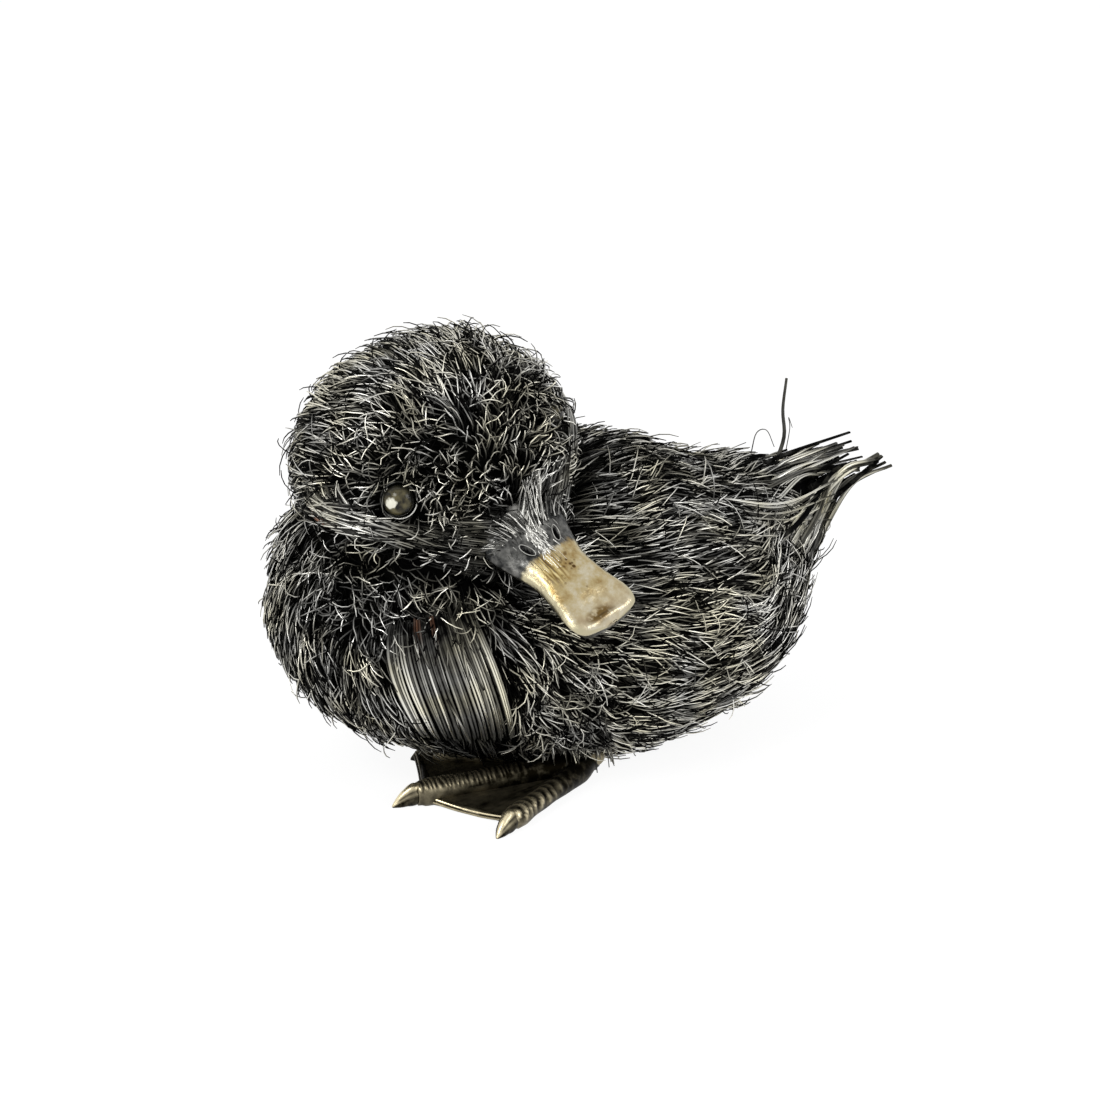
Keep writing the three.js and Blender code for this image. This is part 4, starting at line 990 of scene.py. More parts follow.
chance = np.random.default_rng(31)
for sign in SIDES.values():
    for number in range(TAIL_TOP_STRIPS):
        aside = (number + 0.5 + chance.normal(0, 0.2)) / TAIL_TOP_STRIPS
        short = chance.uniform(0, 1) ** 1.6 * 12
        root = rump_spot(33 + chance.uniform(-5, 4), mix(6, 58, aside), sign, 0.7)
        drop = np.array((0, 0, 3.0 if sign < 0 else 0.3))
        rest = between((2, 41, 45.0), (11.6, 40, 41.8), aside) - drop
        crown = between((1.5, 49, 45.8), (9.8, 48, 43.8), aside) - drop
        tip = between((-1, 66, 46.2), (7, 64, 43.6), aside) - drop * 0.6
        tip = tip + np.array((chance.normal(0, 1.2), -short, chance.normal(0, 0.8)))
        jitter = chance.normal(0, 0.6, (2, 3)) - np.array((0, 0, 0.4))
        keep_strip(root, (rest + jitter[0], crown + jitter[1], tip), sign,
                   chance.uniform(0.65, 1.15), chance.choice(TAIL_TONES))
    for number in range(TAIL_SIDE_STRIPS):
        aside = (number + 0.5 + chance.normal(0, 0.25)) / TAIL_SIDE_STRIPS
        short = chance.uniform(0, 1) ** 2 * 9
        root = rump_spot(mix(37, 49, aside) + chance.normal(0, 1.2), mix(82, 116, aside), sign, 0.5)
        drop = np.array((0, 0, 4.8 if sign < 0 else 0.8))
        rest = between((13.2, 45, 38.2), (9.2, 54.4, 36.6), aside) - drop * 0.5
        crown = between((11.2, 53, 45.4), (9.2, 59, 41.4), aside) - drop
        tip = between((9.0, 65.6, 47.0), (10.2, 66.6, 44.6), aside) - drop
        stray = np.array((chance.normal(0, 0.5), 0, chance.normal(0, 0.5)))
        tip = tip + (crown - tip) * short / 12 + stray
        jitter = chance.normal(0, 0.7, (2, 3))
        keep_strip(root, (rest + jitter[0], crown + jitter[1], tip), sign,
                   chance.uniform(0.65, 1.1), chance.choice(TAIL_TONES))
    for number in range(TAIL_CROSSING_STRIPS):
        aside = number / TAIL_CROSSING_STRIPS
        root = rump_spot(mix(26, 33, chance.uniform()), mix(52, 74, aside), sign, 1.2)
        rest = np.array((14.4, 40, mix(41.5, 36.0, aside)))
        tip_length = 51.5 + chance.normal(0, 2)
        tip = np.array((11.6, tip_length, mix(42.5, 36.5, aside) + chance.normal(0, 1.4)))
        keep_strip(root, (rest, tip), sign, chance.uniform(0.34, 0.52), chance.choice(CROSSING_TONES))
    # The inner strips are laid almost black, as painted shade inside the brush.
    for number in range(TAIL_INNER_STRIPS):
        aside = (number + 0.5) / TAIL_INNER_STRIPS
        root = rump_spot(42 + chance.uniform(-2, 4), mix(10, 104, aside), sign, 0.2)
        rest = between((2, 50, 42.5), (9, 50, 36), aside) + chance.normal(0, 0.6, 3)
        tip = between((0, 61.5, 43.5), (8.0, 61, 41.5), aside) + chance.normal(0, 0.7, 3)
        keep_strip(root, (rest, tip), sign, 1.2, chance.uniform(0.0, 0.02))
tail_lines = np.array(tail_lines)
taper = np.concatenate((np.linspace(0.5, 1, 4), np.linspace(1, 0.62, TAIL_STEPS - 4)))
mesh, corners = drawn_wires("tail_strips", tail_lines, np.array(tail_radii)[:, None] * taper, 2)
off_axis = tail_lines - np.array((0, 0, TAIL_FAN_HEIGHT))
off_axis[:, :, 1] = 0
headings = unit(np.gradient(tail_lines, axis=1))
ups = unit(off_axis - headings * (off_axis * headings).sum(-1, keepdims=True))
press_flat(mesh, tail_lines, corners, ups)
along = np.linspace(0, 1, TAIL_STEPS)
# Painted shade: the strips are darker at the root, under the rump's coat, and towards their tips.
fade = ease(0, 0.12, along) * (1 - 0.9 * ease(0.78, 0.97, along))
# Painted highlight: each strip is bright along its upper edges and dark below them.
offsets = unit(corners - tail_lines[:, :, None])
on_top = (offsets * ups[:, :, None]).sum(-1)
edges = np.sqrt(np.clip(1 - on_top ** 2, 0, 1))
upper_edge = ease(-0.5, 0.3, offsets[..., 2])
shine = ease(-0.35, 0.25, on_top) * mix(0.07, 1.4, edges ** 2 * upper_edge)
set_wire_values(mesh, "polish", (np.array(tail_tone)[:, None] * fade)[:, :, None] * shine)
set_wire_values(mesh, "copper", np.zeros(corners.shape[:3]))
tail_nodes = [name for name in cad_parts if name.startswith("tail_strip_")]
add_piece("tail_strips", mesh, strip_silver, "silver_strip", *tail_nodes)

upright = np.array(((0.0, 0.0, 1.0),))
crest_seat = reach(body_form, np.array((*CREST_PLACE, TAIL_AXIS_HEIGHT)), upright)[0]
crest_lines = [curve_through(crest_seat + np.array(stops), CREST_STEPS) for stops in CREST_STOPS]
crest_radii = np.array(CREST_RADII)[:, None] * np.linspace(1, 0.6, CREST_STEPS)
mesh, corners = drawn_wires("crest_wires", np.array(crest_lines), crest_radii, 1)
set_wire_values(mesh, "polish", np.full(corners.shape[:3], 0.10))
set_wire_values(mesh, "copper", np.zeros(corners.shape[:3]))
add_piece("crest_wires", mesh, strip_silver, "silver_wire", "body_shell_upper")

# Feet: castings with three scaled toes that end in claws, a leathery web with a raised rim,
# and a smooth shank that goes up into the belly.

HEEL = np.array((18.6, -1, 2.4))
TOE_TIPS = {"inner": (-21.5, -24.5), "middle": (-4.3, -37), "outer": (15.9, -28.1)}
TOE_FOLDS = {"inner": 34, "middle": 38, "outer": 14}
TOE_CLOSE_FOLDS = 18  # more than this on a toe, and they cross only its top
TOE_ROWS_IN_FOLD = 4
TOE_CORNERS = 24
TOE_HEIGHT = 1.7
TOE_RADIUS = {"inner": 2.0, "middle": 2.45, "outer": 1.95}
CLAW_LENGTH = 4.3
CLAW_OVERLAP = 1.12
CLAW_RADIUS = 1.85
CLAW_ROWS = 12
CLAW_CORNERS = 20
# The inner claw is painted dark, as painted shade under the belly.
CLAW_SHINE = {"inner": 0.12, "middle": 1, "outer": 1}
WEB_TOES = (("inner", "middle"), ("middle", "outer"))
WEB_REACH = {"inner": 0.97, "middle": 0.86, "outer": 0.82}
WEB_HOLLOW = 0.98
WEB_SAG = 0.95
WEB_ACROSS = 28
WEB_OUT = 22
WEB_RIMS = ((0.10, 1.0, 0.26), (-0.40, 1.012, 0.20), (-0.85, 0.985, 0.60))
WEB_RIM_STEPS = 25
WEB_RIM_HEIGHT = 1.5
# The rims of the web between the inner and middle toes are painted dark, as shade under the belly, and
# the other web's top rim is painted bright.
WEB_RIM_SHINE = (0.10, 0.05, 0.02, 1.0, 0.35, 0.06)
SHANK_RADIUS = 1.9
RIGHT_FOOT_SETBACK = 12
RIGHT_FOOT_TURN = math.radians(18)

# The feet's relief values are worn folds and also painted light: toes darker towards the heel, claws
# lit on one side, inner parts in painted shade.
foot_silver, tree, shader = new_finish("foot_silver", metallic=1, roughness=0.30)
patinated(tree, shader, relief=0.5, polish=painted(tree, "relief"), dark=(0.005, 0.004, 0.002),
          bright=(0.80, 0.70, 0.47), spots=620, wear=0.34)


def add_toe(foot, worn_and_lit_layer, heel, direction, length, folds, toe_radius):
    """A toe laid from the heel outwards, smooth below and folded across its top."""
    toe_length = length - CLAW_LENGTH
    rows = folds * TOE_ROWS_IN_FOLD
    sides = [(1, toe_length * row / rows) for row in range(rows + 1)]
    out = Vector((direction[0], direction[1], 0))
    side = Vector((-direction[1], direction[0], 0))
    for vertex in turn_profile(foot, [(0, 0)] + sides + [(0, toe_length)], TOE_CORNERS):
        share = vertex.co.z / toe_length
        around = math.atan2(vertex.co.x, vertex.co.y)
        filled = min(math.hypot(vertex.co.x, vertex.co.y), 1)
        drift = 0.8 * noise.noise(Vector((share * folds * 0.5, around * 0.8, folds)))
        fold = 0.5 + 0.5 * math.cos(math.tau * (share * folds + drift + 0.10 * math.cos(around * 2)))
        crease = (1 - fold) ** 3
        if folds > TOE_CLOSE_FOLDS:
            top = float(ease(0.62, 0.96, math.cos(around - 0.25)))
        else:
            top = float(ease(-0.4, 0.5, math.cos(around)))
        top *= float(ease(0.30, 0.42, share))
        radius = toe_radius * mix(1.10, 0.92, float(ease(0, 0.6, share)))
        radius *= mix(0.6, 1, float(ease(0, 0.2, share)))
        radius += 0.30 * math.exp(-((share - 0.90) / 0.07) ** 2) - 0.35 * float(ease(0.965, 1, share))
        radius += top * (0.10 * fold - 0.20 * crease)
        radius += 0.12 * noise.noise(Vector((share * folds * 0.45, around * 1.2, folds)))
        patches = noise.noise(Vector((share * 9, around * 1.5, folds * 2)))
        side_tone = 0.01 + 0.55 * max(0, patches) + 0.12 * float(ease(0.6, 0.95, share))
        # Painted shade: the toe darkens towards the heel, under the belly.
        lit = mix(0.04, 1, float(ease(0.35, 0.90, share)))
        vertex[worn_and_lit_layer] = mix(side_tone, 1.1 * fold ** 4 + 0.03, top) * lit
        middle = Vector((heel[0], heel[1], mix(heel[2], TOE_HEIGHT, share)))
        wide = math.sin(around) * radius * filled
        tall = math.cos(around) * radius * filled * 0.98
        vertex.co = middle + out * vertex.co.z + side * wide + Vector((0, 0, tall))
        vertex.co.z = max(vertex.co.z, 0.05)


def add_claw(foot, worn_and_lit_layer, heel, direction, length, shine):
    """A stout claw bent to the ground, with a painted highlight on one side and a groove along each
    side that is painted dark.
    """
    sides = [(1, row / CLAW_ROWS) for row in range(CLAW_ROWS + 1)]
    claw_length = CLAW_LENGTH * CLAW_OVERLAP
    out = Vector((direction[0], direction[1], 0))
    side = Vector((-direction[1], direction[0], 0))
    for vertex in turn_profile(foot, [(0, 0)] + sides + [(0, 1)], CLAW_CORNERS):
        share = vertex.co.z
        around = math.atan2(vertex.co.x, vertex.co.y)
        filled = min(math.hypot(vertex.co.x, vertex.co.y), 1)
        swell = 0.10 * math.sin(math.pi * min(share * 2, 1))
        radius = CLAW_RADIUS * (mix(1.0, 0.14, share ** 2.8) + swell)
        groove = math.exp(-((abs(around) - 1.0) / 0.32) ** 2) * (1 - float(ease(0.75, 1, share)))
        seam = math.exp(-((share - 0.04) / 0.05) ** 2)
        radius *= (1 - 0.22 * groove) * (1 - 0.12 * seam)
        lit = 0.04 + 0.96 * float(ease(0.35, 0.80, math.cos(around - 0.3)))
        hollowed = (1 - 0.95 * groove) * (1 - 0.8 * seam)
        vertex[worn_and_lit_layer] = shine * lit * hollowed * mix(0.75, 1.05, share)
        ahead = length - claw_length + claw_length * share
        middle = Vector((heel[0], heel[1], mix(TOE_HEIGHT + 0.2, 0.20, share ** 2)))
        vertex.co = middle + out * ahead + side * (math.sin(around) * radius * filled * 0.82)
        vertex.co.z = max(vertex.co.z + math.cos(around) * radius * filled, 0.04)


def web_course(tips, first, second, count):
    """The front edge of the web between two toes, a little hollow."""
    near, far = tips[first] * WEB_REACH[first], tips[second] * WEB_REACH[second]
    middle = (near + far) * (WEB_HOLLOW - 0.5)
    return bent((near, middle, far), np.linspace(0, 1, count))


def add_web(foot, worn_and_lit_layer, heel, tips, first, second):
    """A leathery web that sags in soft folds between two toes."""
    sheet = bmesh.ops.create_grid(foot, x_segments=WEB_ACROSS, y_segments=WEB_OUT, size=0.5)
    edge = web_course(tips, first, second, WEB_ACROSS + 1)
    for vertex in sheet["verts"]:
        across = round((vertex.co.x + 0.5) * WEB_ACROSS)
        out = vertex.co.y + 0.5
        spot = edge[across] * mix(0.12, 1.0, out)
        sag = math.sin(math.pi * across / WEB_ACROSS)
        drift = noise.noise(Vector((across * 0.2, out * 3, 0))) * 2
        fold = 0.5 * math.sin(across * 0.62 + out * 2.5 + drift)
        height = mix(1.9, 1.6, out) - WEB_SAG * sag * out + 0.28 * fold * out * sag
        vertex.co = Vector((heel[0] + spot[0], heel[1] + spot[1], height))
        wrinkle = noise.noise(Vector((across * 0.9, out * 6, 3)))
        tone = 0.09 + 0.12 * fold * out + 0.10 * wrinkle + 0.14 * (1 - sag)
        vertex[worn_and_lit_layer] = max(0.01, tone)


def add_web_rims(side, heel, tips):
    """The raised rim along each web's front edge, with a finer one in front and a roll below."""
    rims, radii = [], []
    sag = np.sin(np.linspace(0, np.pi, WEB_RIM_STEPS))
    for first, second in WEB_TOES:
        course = web_course(tips, first, second, WEB_RIM_STEPS)
        for lift, out, radius in WEB_RIMS:
            height = np.maximum(WEB_RIM_HEIGHT - WEB_SAG * sag + lift, radius)
            rims.append(np.column_stack((heel[:2] + course * out, height)))
            radii.append(np.full(WEB_RIM_STEPS, radius))
    mesh, corners = drawn_wires(f"web_rims_{side}", np.array(rims), np.array(radii), 1)
    shine = np.ones(corners.shape[:3]) * np.array(WEB_RIM_SHINE)[:, None, None]
    set_wire_values(mesh, "relief", shine)
    add_piece(f"web_rims_{side}", mesh, foot_silver, "cast_silver", f"foot_{side}")


def make_foot(side, setback, turn):
    foot = bmesh.new()
    worn_and_lit_layer = foot.verts.layers.float.new("relief")
    sign = SIDES[side]
    heel = np.array((sign * HEEL[0], HEEL[1] + setback, HEEL[2]))
    tips = {}
    for name, (x, y) in TOE_TIPS.items():
        turned = (x * math.cos(turn) - y * math.sin(turn), x * math.sin(turn) + y * math.cos(turn))
        tips[name] = np.array((sign * turned[0], turned[1]))
    for name, tip in tips.items():
        length = float(np.linalg.norm(tip))
        add_toe(foot, worn_and_lit_layer, heel, tip / length, length, TOE_FOLDS[name], TOE_RADIUS[name])
        add_claw(foot, worn_and_lit_layer, heel, tip / length, length, CLAW_SHINE[name])
    for first, second in WEB_TOES:
        add_web(foot, worn_and_lit_layer, heel, tips, first, second)
    shank = bmesh.ops.create_uvsphere(foot, u_segments=24, v_segments=16, radius=SHANK_RADIUS)
    shank_middle = Vector((heel[0], heel[1], HEEL[2] + 1.0))
    for vertex in shank["verts"]:
        vertex.co = Vector((vertex.co.x, vertex.co.y, vertex.co.z * 0.95)) + shank_middle
        vertex[worn_and_lit_layer] = 0.3
    bmesh.ops.recalc_face_normals(foot, faces=foot.faces)
    mesh = to_mesh(f"cast_foot_{side}", foot)
    add_piece(f"cast_foot_{side}", mesh, foot_silver, "cast_silver", f"foot_{side}")
    add_web_rims(side, heel, tips)
    return heel


heels = {
    "left": make_foot("left", 0, 0),
    "right": make_foot("right", RIGHT_FOOT_SETBACK, RIGHT_FOOT_TURN),
}

# Coat: thousands of short lengths of drawn silver wire, soldered at one end and combed from
# the bill over the head, down the breast and back along the flanks. They are blackened, and
# the sides that face out and up are rubbed bright and carry a painted highlight, with a painted
# glint along each wire and painted shade and light by area.

WIRE_RADIUS = 0.145
WIRE_STEPS = 6
WIRE_TAPER = (1, 1, 1, 0.96, 0.86, 0.55)
WIRE_TONES = (0.1, 0.6, 1, 1, 1, 0.8)
WIRE_MOST_POLISH = 1.2
ROOT_DEPTH = 0.3
LOCK_SPACING = 3.3
DARK_SHARE = 0.38
HEAD_WIRE_SPACING = 0.56
BODY_WIRE_SPACING = 0.64
EYE_CLEARANCE = 3.1
LEFT_EYE_CLEARANCE = 1.5
CHEEK_CLEARANCE = 2.1
WING_CLEARANCE = 2.2
BILL_HALF_WIDTH_AT_FACE = 7.4
BILL_HALF_HEIGHT_AT_FACE = 4.6
BACK_START = -14  # along the body, where the breast ends
BACK_HEIGHT = 34
crown_tuft = head_spot(108, 38, 1)[0]
nape_side = head_spot(140, -8, -1)[0]
left_brow = head_spot(54, 30, 1)[0]
knots = (
    ((18, -41, 42), 7),
    ((26, -30, 41), 6),
    ((27, -12, 20), 6),
    ((23, -9, 12), 6),
    ((10, -46, 44), 5),
    ((-18, -41, 42), 7),
    ((-29, -15, 24), 6),
    (eye_seats["right"], 6),
    (eye_seats["left"], 6),
    (head_spot(28, 38, -1)[0], 5),
    (head_spot(28, 38, 1)[0], 5),
    (head_spot(52, 38, -1)[0], 5),
    (head_spot(8, 26, -1)[0], 4.5),
    (head_spot(52, 38, 1)[0], 5),
    (head_spot(70, -16, -1)[0], 5),
)
coat_silver = wire_finish("coat_silver", (0.0012, 0.0012, 0.0012), (0.96, 0.95, 0.90), 0.015)


def nearness(spots, middle, size):
    """1 at the middle, and less and less away from it."""
    return np.exp(-((spots - np.array(middle)) ** 2).sum(1) / (2 * size ** 2))


def tangle(spots):
    """Where the coat is unkempt: under the eyes, at the throat and behind the wings."""
    total = np.zeros(len(spots))
    for middle, size in knots:
        total += nearness(spots, middle, size)
    return np.clip(total, 0, 1)


def body_lie(spots):
    """Down over the breast, back along the flanks, and up towards the tail at the rump."""
    x, y, z = spots.T
    turned = ease(-28, 0, y + 0.6 * (z - 28))
    rising = mix(-0.10, 0.85, ease(2, 42, y)) * (1 - ease(33, 44, z))
    climb = mix(-1, rising, turned)
    return np.stack((0.1 * np.sign(x), mix(0.15, 1, turned), climb), 1)


def head_lie(spots):
    """Back from the bill over the crown, down the nape, and down over the jaw."""
    local = to_head(spots)
    behind = ease(-4, 14, -local[:, 0])
    aside = np.maximum(0.32 * np.tanh(local[:, 1] / 6), -0.08)
    backward = np.stack((-np.ones(len(spots)), aside, mix(-0.42, -0.78, behind)), 1)
    lower = ease(3, 13, -local[:, 2])[:, None]
    combed = mix(backward, np.array((-0.45, 0, -0.9)), lower) @ head_form["axes"].T
    over_left_eye = 0.85 * nearness(spots, head_spot(57, 30, 1)[0], 3.4)[:, None]
    return mix(combed, unit(eye_seats["left"] - spots), over_left_eye)


def spot_tree(spots):
    """A search tree over spots, numbered in their order."""
    tree = kdtree.KDTree(len(spots))
    for number, spot in enumerate(spots):
        tree.insert(spot, number)
    tree.balance()
    return tree


def near_any(spots, others, distance):
    tree = spot_tree(others)
    return np.array([tree.find(spot)[2] < distance for spot in spots])


def thinned(spots, order, spacing):
    """Numbers of the spots that stay when none may be nearer to another than the spacing."""
    tree = spot_tree(spots)
    free = np.ones(len(spots), bool)
    kept = []
    for number in order:
        if free[number]:
            kept.append(number)
            for _, other, _ in tree.find_range(spots[number], spacing):
                free[other] = False
    return kept


def scatter(corners, faces, spacing, seed):
    """Spots spread over a shell's faces, none nearer to another than the spacing."""
    chance = np.random.default_rng(seed)
    a, b, c = (corners[faces[:, column]] for column in range(3))
    areas = np.linalg.norm(np.cross(b - a, c - a), axis=1) / 2
    count = int(areas.sum() / spacing ** 2 * 4)
    chosen = chance.choice(len(faces), count, p=areas / areas.sum())
    first, second = chance.uniform(0, 1, (2, count))
    over = first + second > 1
    first, second = np.where(over, 1 - first, first), np.where(over, 1 - second, second)
    spots = a[chosen] + (b - a)[chosen] * first[:, None] + (c - a)[chosen] * second[:, None]
    return spots[thinned(spots, range(count), spacing)]


def nearest_lock(roots, seed):
    """The lock that each wire belongs to, and the middles of the locks."""
    chance = np.random.default_rng(seed)
    middles = roots[thinned(roots, chance.permutation(len(roots)), LOCK_SPACING)]
    locks = spot_tree(middles)
    shifted = roots + chance.normal(0, 0.5, roots.shape)
    return np.array([locks.find(root)[1] for root in shifted]), middles


def lay_wires(form, roots, lie, lengths, lifts, turns):
    """Marches each wire over the skin: it leaves its root, rises and lies down along the coat."""
    step_length = lengths / (WIRE_STEPS - 1)
    normal = outward(form, roots)
    heading = unit(lie - normal * (lie * normal).sum(1, keepdims=True))
    spot = roots.copy()
    lines = [roots - normal * ROOT_DEPTH]
    for step in range(1, WIRE_STEPS):
        across = np.cross(normal, heading)
        angle = turns[:, step - 1]
        heading = heading * np.cos(angle)[:, None] + across * np.sin(angle)[:, None]
        spot = spot + heading * step_length[:, None]
        normal = outward(form, spot)
        heading = unit(heading - normal * (heading * normal).sum(1, keepdims=True))
        share = step / (WIRE_STEPS - 1)
        height = mix(-SHEET_DEPTH, lifts, 1 - (1 - share) ** 2)
        spot = spot + normal * (height - skin(form, spot))[:, None]
        lines.append(spot.copy())
    return np.stack(lines, 1)


def flow_turn(spots, seed):
    """Slow swirls that turn whole areas of the coat to one side or the other."""
    return np.array([noise.noise(Vector(spot) / 9 + Vector((seed, 0, 0))) * 0.5 for spot in spots])


def covers_an_eye(lines, chance):
    """Wires that would hide the right eye, and some of those that hang over the left one."""
    hiding = np.zeros(len(lines), bool)
    toward_bill = from_head((0.6, 0, -0.4)) - head_heart
    for side, room, share in (("right", 2.7, 0.95), ("left", 1.0, 0.05)):
        dome = eye_seats[side] + eye_normals[side] * 1.5 + toward_bill
        near = (np.linalg.norm(lines - dome, axis=-1) < room).any(1)
        hiding |= near & (chance.uniform(0, 1, len(lines)) < share)
    return hiding


def rise_of_wires(roots, layer, straying, at_crown, at_nape, chance):
    """How far over the middle of the coat each wire ends."""
    lifts = mix(-0.3, 2.0, layer) + np.where(straying, chance.uniform(0.3, 2.0, len(roots)), 0)
    back = 1.3 * nearness(roots, (2, 4, 53), 10.5) + 1.0 * nearness(roots, (-5, 29, 43), 8)
    lifts += back * layer
    brow = nearness(roots, left_brow, 3.6)
    lifts += (1.5 * at_crown * mix(0.4, 1, layer) + 2.2 * brow * mix(0.5, 1, layer)
              + 0.6 * at_nape * layer)
    rump = 0.8 * nearness(roots, (14, 46, 24), 12) + 0.9 * nearness(roots, (0, 44, 44), 6)
    return lifts - rump * (layer > 0.4)


def wear_and_glint_of_wires(count, glow, chance):
    """How bright each wire is along its steps: many stay black, and the rest have one painted glint."""
    is_dark = chance.uniform(0, 1, count) < DARK_SHARE
    dark_tone = chance.uniform(0, 0.012, count)
    tone = np.where(is_dark, dark_tone, chance.gamma(1.7, 0.56, count)) * glow
    # The glint is a painted highlight at one place along each wire.
    middle = chance.uniform(0.3, 0.95, count)[:, None]
    size = chance.uniform(0.18, 0.5, count)[:, None]
    glint = np.exp(-((np.linspace(0, 1, WIRE_STEPS) - middle) / size) ** 2)
    worn = tone[:, None] * np.array(WIRE_TONES) * mix(0.35, 1.2, glint)
    return np.clip(worn, 0, WIRE_MOST_POLISH)


def comb(name, form, roots, lie, reach_of_wires, seed, painted_light_level, *nodes_behind):
    """Lays one area of the coat in locks of parallel wires and adds it as a piece."""
    chance = np.random.default_rng(seed)
    count = len(roots)
    messy = tangle(roots)
    lock, middles = nearest_lock(roots, seed)
    many = len(middles)
    lock_turn = chance.normal(0, 1, many)
    lock_tone = np.exp(chance.normal(0, 0.42, many))
    lock_lift = chance.uniform(0, 1, many)
    lock_sweep = chance.normal(0, 0.05, many)
    at_crown = nearness(roots, crown_tuft, 8)
    at_nape = nearness(roots, nape_side, 9)
    straying = chance.uniform(0, 1, count) < 0.07 + 0.10 * messy + 0.15 * at_crown + 0.10 * at_nape

    turn = flow_turn(roots, seed) + lock_turn[lock] * (0.18 + 0.50 * messy)
    turn += chance.normal(0, 1, count) * (0.09 + 0.28 * messy)
    turn += np.where(straying, chance.normal(0, 0.8, count), 0)
    turn += chance.normal(0, 1, count) * at_crown * 0.6
    normal = outward(form, roots)
    lie = unit(lie - normal * (lie * normal).sum(1, keepdims=True))
    across = np.cross(normal, lie)
    aside = ((roots - middles[lock]) * across).sum(1)
    turn -= np.arctan(aside / reach_of_wires) * chance.uniform(0.0, 0.6, count)
    lie = lie * np.cos(turn)[:, None] + across * np.sin(turn)[:, None]

    lengths = reach_of_wires * chance.uniform(0.70, 1.20, count) * mix(1, 0.72, messy)
    layer = np.clip(0.55 * chance.uniform(0, 1, count) + 0.45 * lock_lift[lock], 0, 1)
    lifts = rise_of_wires(roots, layer, straying, at_crown, at_nape, chance)
    bend = chance.normal(0, 1, (count, WIRE_STEPS - 1)) * (0.05 + 0.20 * messy)[:, None]
    curled = chance.uniform(0, 1, count) < 0.02 + 0.42 * messy
    curl = np.where(curled, chance.normal(0, 0.26, count), 0)
    sweep = (lock_sweep[lock] * 0.5 + curl)[:, None] + bend
    lines = lay_wires(form, roots, lie, lengths, lifts, sweep)

    kept = ~covers_an_eye(lines, chance)
    # Brightness of each wire: its lock's tone, darker lower in the coat and where it is messy, brighter
    # at the crown, times the area's painted light level.
    glow = lock_tone[lock] * mix(0.08, 1.6, layer) * (1 - 0.25 * messy) * (1 + 0.3 * at_crown) * painted_light_level
    lines = lines[kept]
    count = len(lines)
    lines[:, :, 2] = np.maximum(lines[:, :, 2], 0.3)
    thickness = WIRE_RADIUS * np.where(straying[kept], 0.8, 1) * chance.uniform(0.85, 1.15, count)
    mesh, corners = drawn_wires(name, lines, thickness[:, None] * np.array(WIRE_TAPER))
    worn = wear_and_glint_of_wires(count, glow[kept], chance)
    lean = np.array((0, 0, 0.5)) + chance.normal(0, 0.35, (count, 1, 3))
    set_wire_values(mesh, "polish", rubbed_and_highlit(lines, corners, outward(form, lines), worn, lean=lean))
    set_wire_values(mesh, "copper", np.zeros(corners.shape[:3]))
    add_piece(name, mesh, coat_silver, "oxidised_silver", *nodes_behind)


head_roots = scatter(head_corners, head_faces, HEAD_WIRE_SPACING, 41)
ahead, aside, above = to_head(head_roots).T
across_bill = (aside / BILL_HALF_WIDTH_AT_FACE) ** 2 + ((above + 1.6) / BILL_HALF_HEIGHT_AT_FACE) ** 2
beside_bill = (ahead > 0) & (across_bill < 1)
buried = skin(body_form, head_roots) < 0
at_eye = np.linalg.norm(head_roots - eye_seats["right"], axis=1) < EYE_CLEARANCE
at_eye |= np.linalg.norm(head_roots - eye_seats["left"], axis=1) < LEFT_EYE_CLEARANCE
at_cheek = near_any(head_roots, np.vstack(list(cheek_paths.values())), CHEEK_CLEARANCE)
head_roots = head_roots[~(beside_bill | buried | at_eye | at_cheek)]
on_left = to_head(head_roots)[:, 1] > 0
for side, chosen in (("left", on_left), ("right", ~on_left)):
    roots = head_roots[chosen]
    ahead, aside, above = to_head(roots).T
    # Painted shade darkens the lower head, and painted light brightens the crown tuft and another patch
    # of the crown.
    painted_light_level = mix(1.22, 0.42, ease(1, 10, -above)) * (1 + 0.35 * nearness(roots, crown_tuft, 9))
    painted_light_level *= 1 + 0.55 * nearness(roots, (13, -14, 71), 5.5)
    wire_lengths = mix(7.6, 4.4, ease(4, 18, ahead))
    comb(f"head_coat_{side}", head_form, roots, head_lie(roots), wire_lengths, 51 + len(side), painted_light_level,
         f"head_shell_{side}")

body_roots = scatter(body_corners, body_faces, BODY_WIRE_SPACING, 42)
buried = skin(head_form, body_roots) < 0
at_wing = near_any(body_roots, np.vstack(wing_spots), WING_CLEARANCE)
low = body_roots[:, 2] < 1.5
under_tail = (body_roots[:, 1] > 40) & (body_roots[:, 2] > 34.5)
body_roots = body_roots[~(buried | at_wing | low | under_tail)]
on_left = body_roots[:, 0] >= 0
on_breast = body_roots[:, 1] < BACK_START
on_back = ~on_breast & (body_roots[:, 2] >= BACK_HEIGHT)
on_flank = ~on_breast & ~on_back
# Each area: its wires, their length and their painted light level.
areas = {
    "breast_coat_left": (on_breast & on_left, 7.2, 0.95),
    "breast_coat_right": (on_breast & ~on_left, 7.2, 0.95),
    "flank_coat_left": (on_flank & on_left, 8.4, 1.3),
    "flank_coat_right": (on_flank & ~on_left, 8.4, 1.3),
    "back_coat": (on_back, 8.4, 0.90),
}
for number, (name, (chosen, wire_length, painted_light_level)) in enumerate(areas.items()):
    roots = body_roots[chosen]
    # Painted shade darkens the back where the head shades it, and painted light lifts the breast under
    # the bill.
    painted_light_level = painted_light_level * (1 - 0.8 * nearness(roots, (9, 1, 50), 4.5))
    painted_light_level *= 1 + 0.6 * nearness(roots, (27, -20, 29), 6)
    comb(name, body_form, roots, body_lie(roots), wire_length, 61 + number, painted_light_level,
         "body_shell_lower", "body_shell_upper")

# Thigh tufts: longer wires soldered to the belly's edge, which hang over the top of each foot
# and hide its shank.

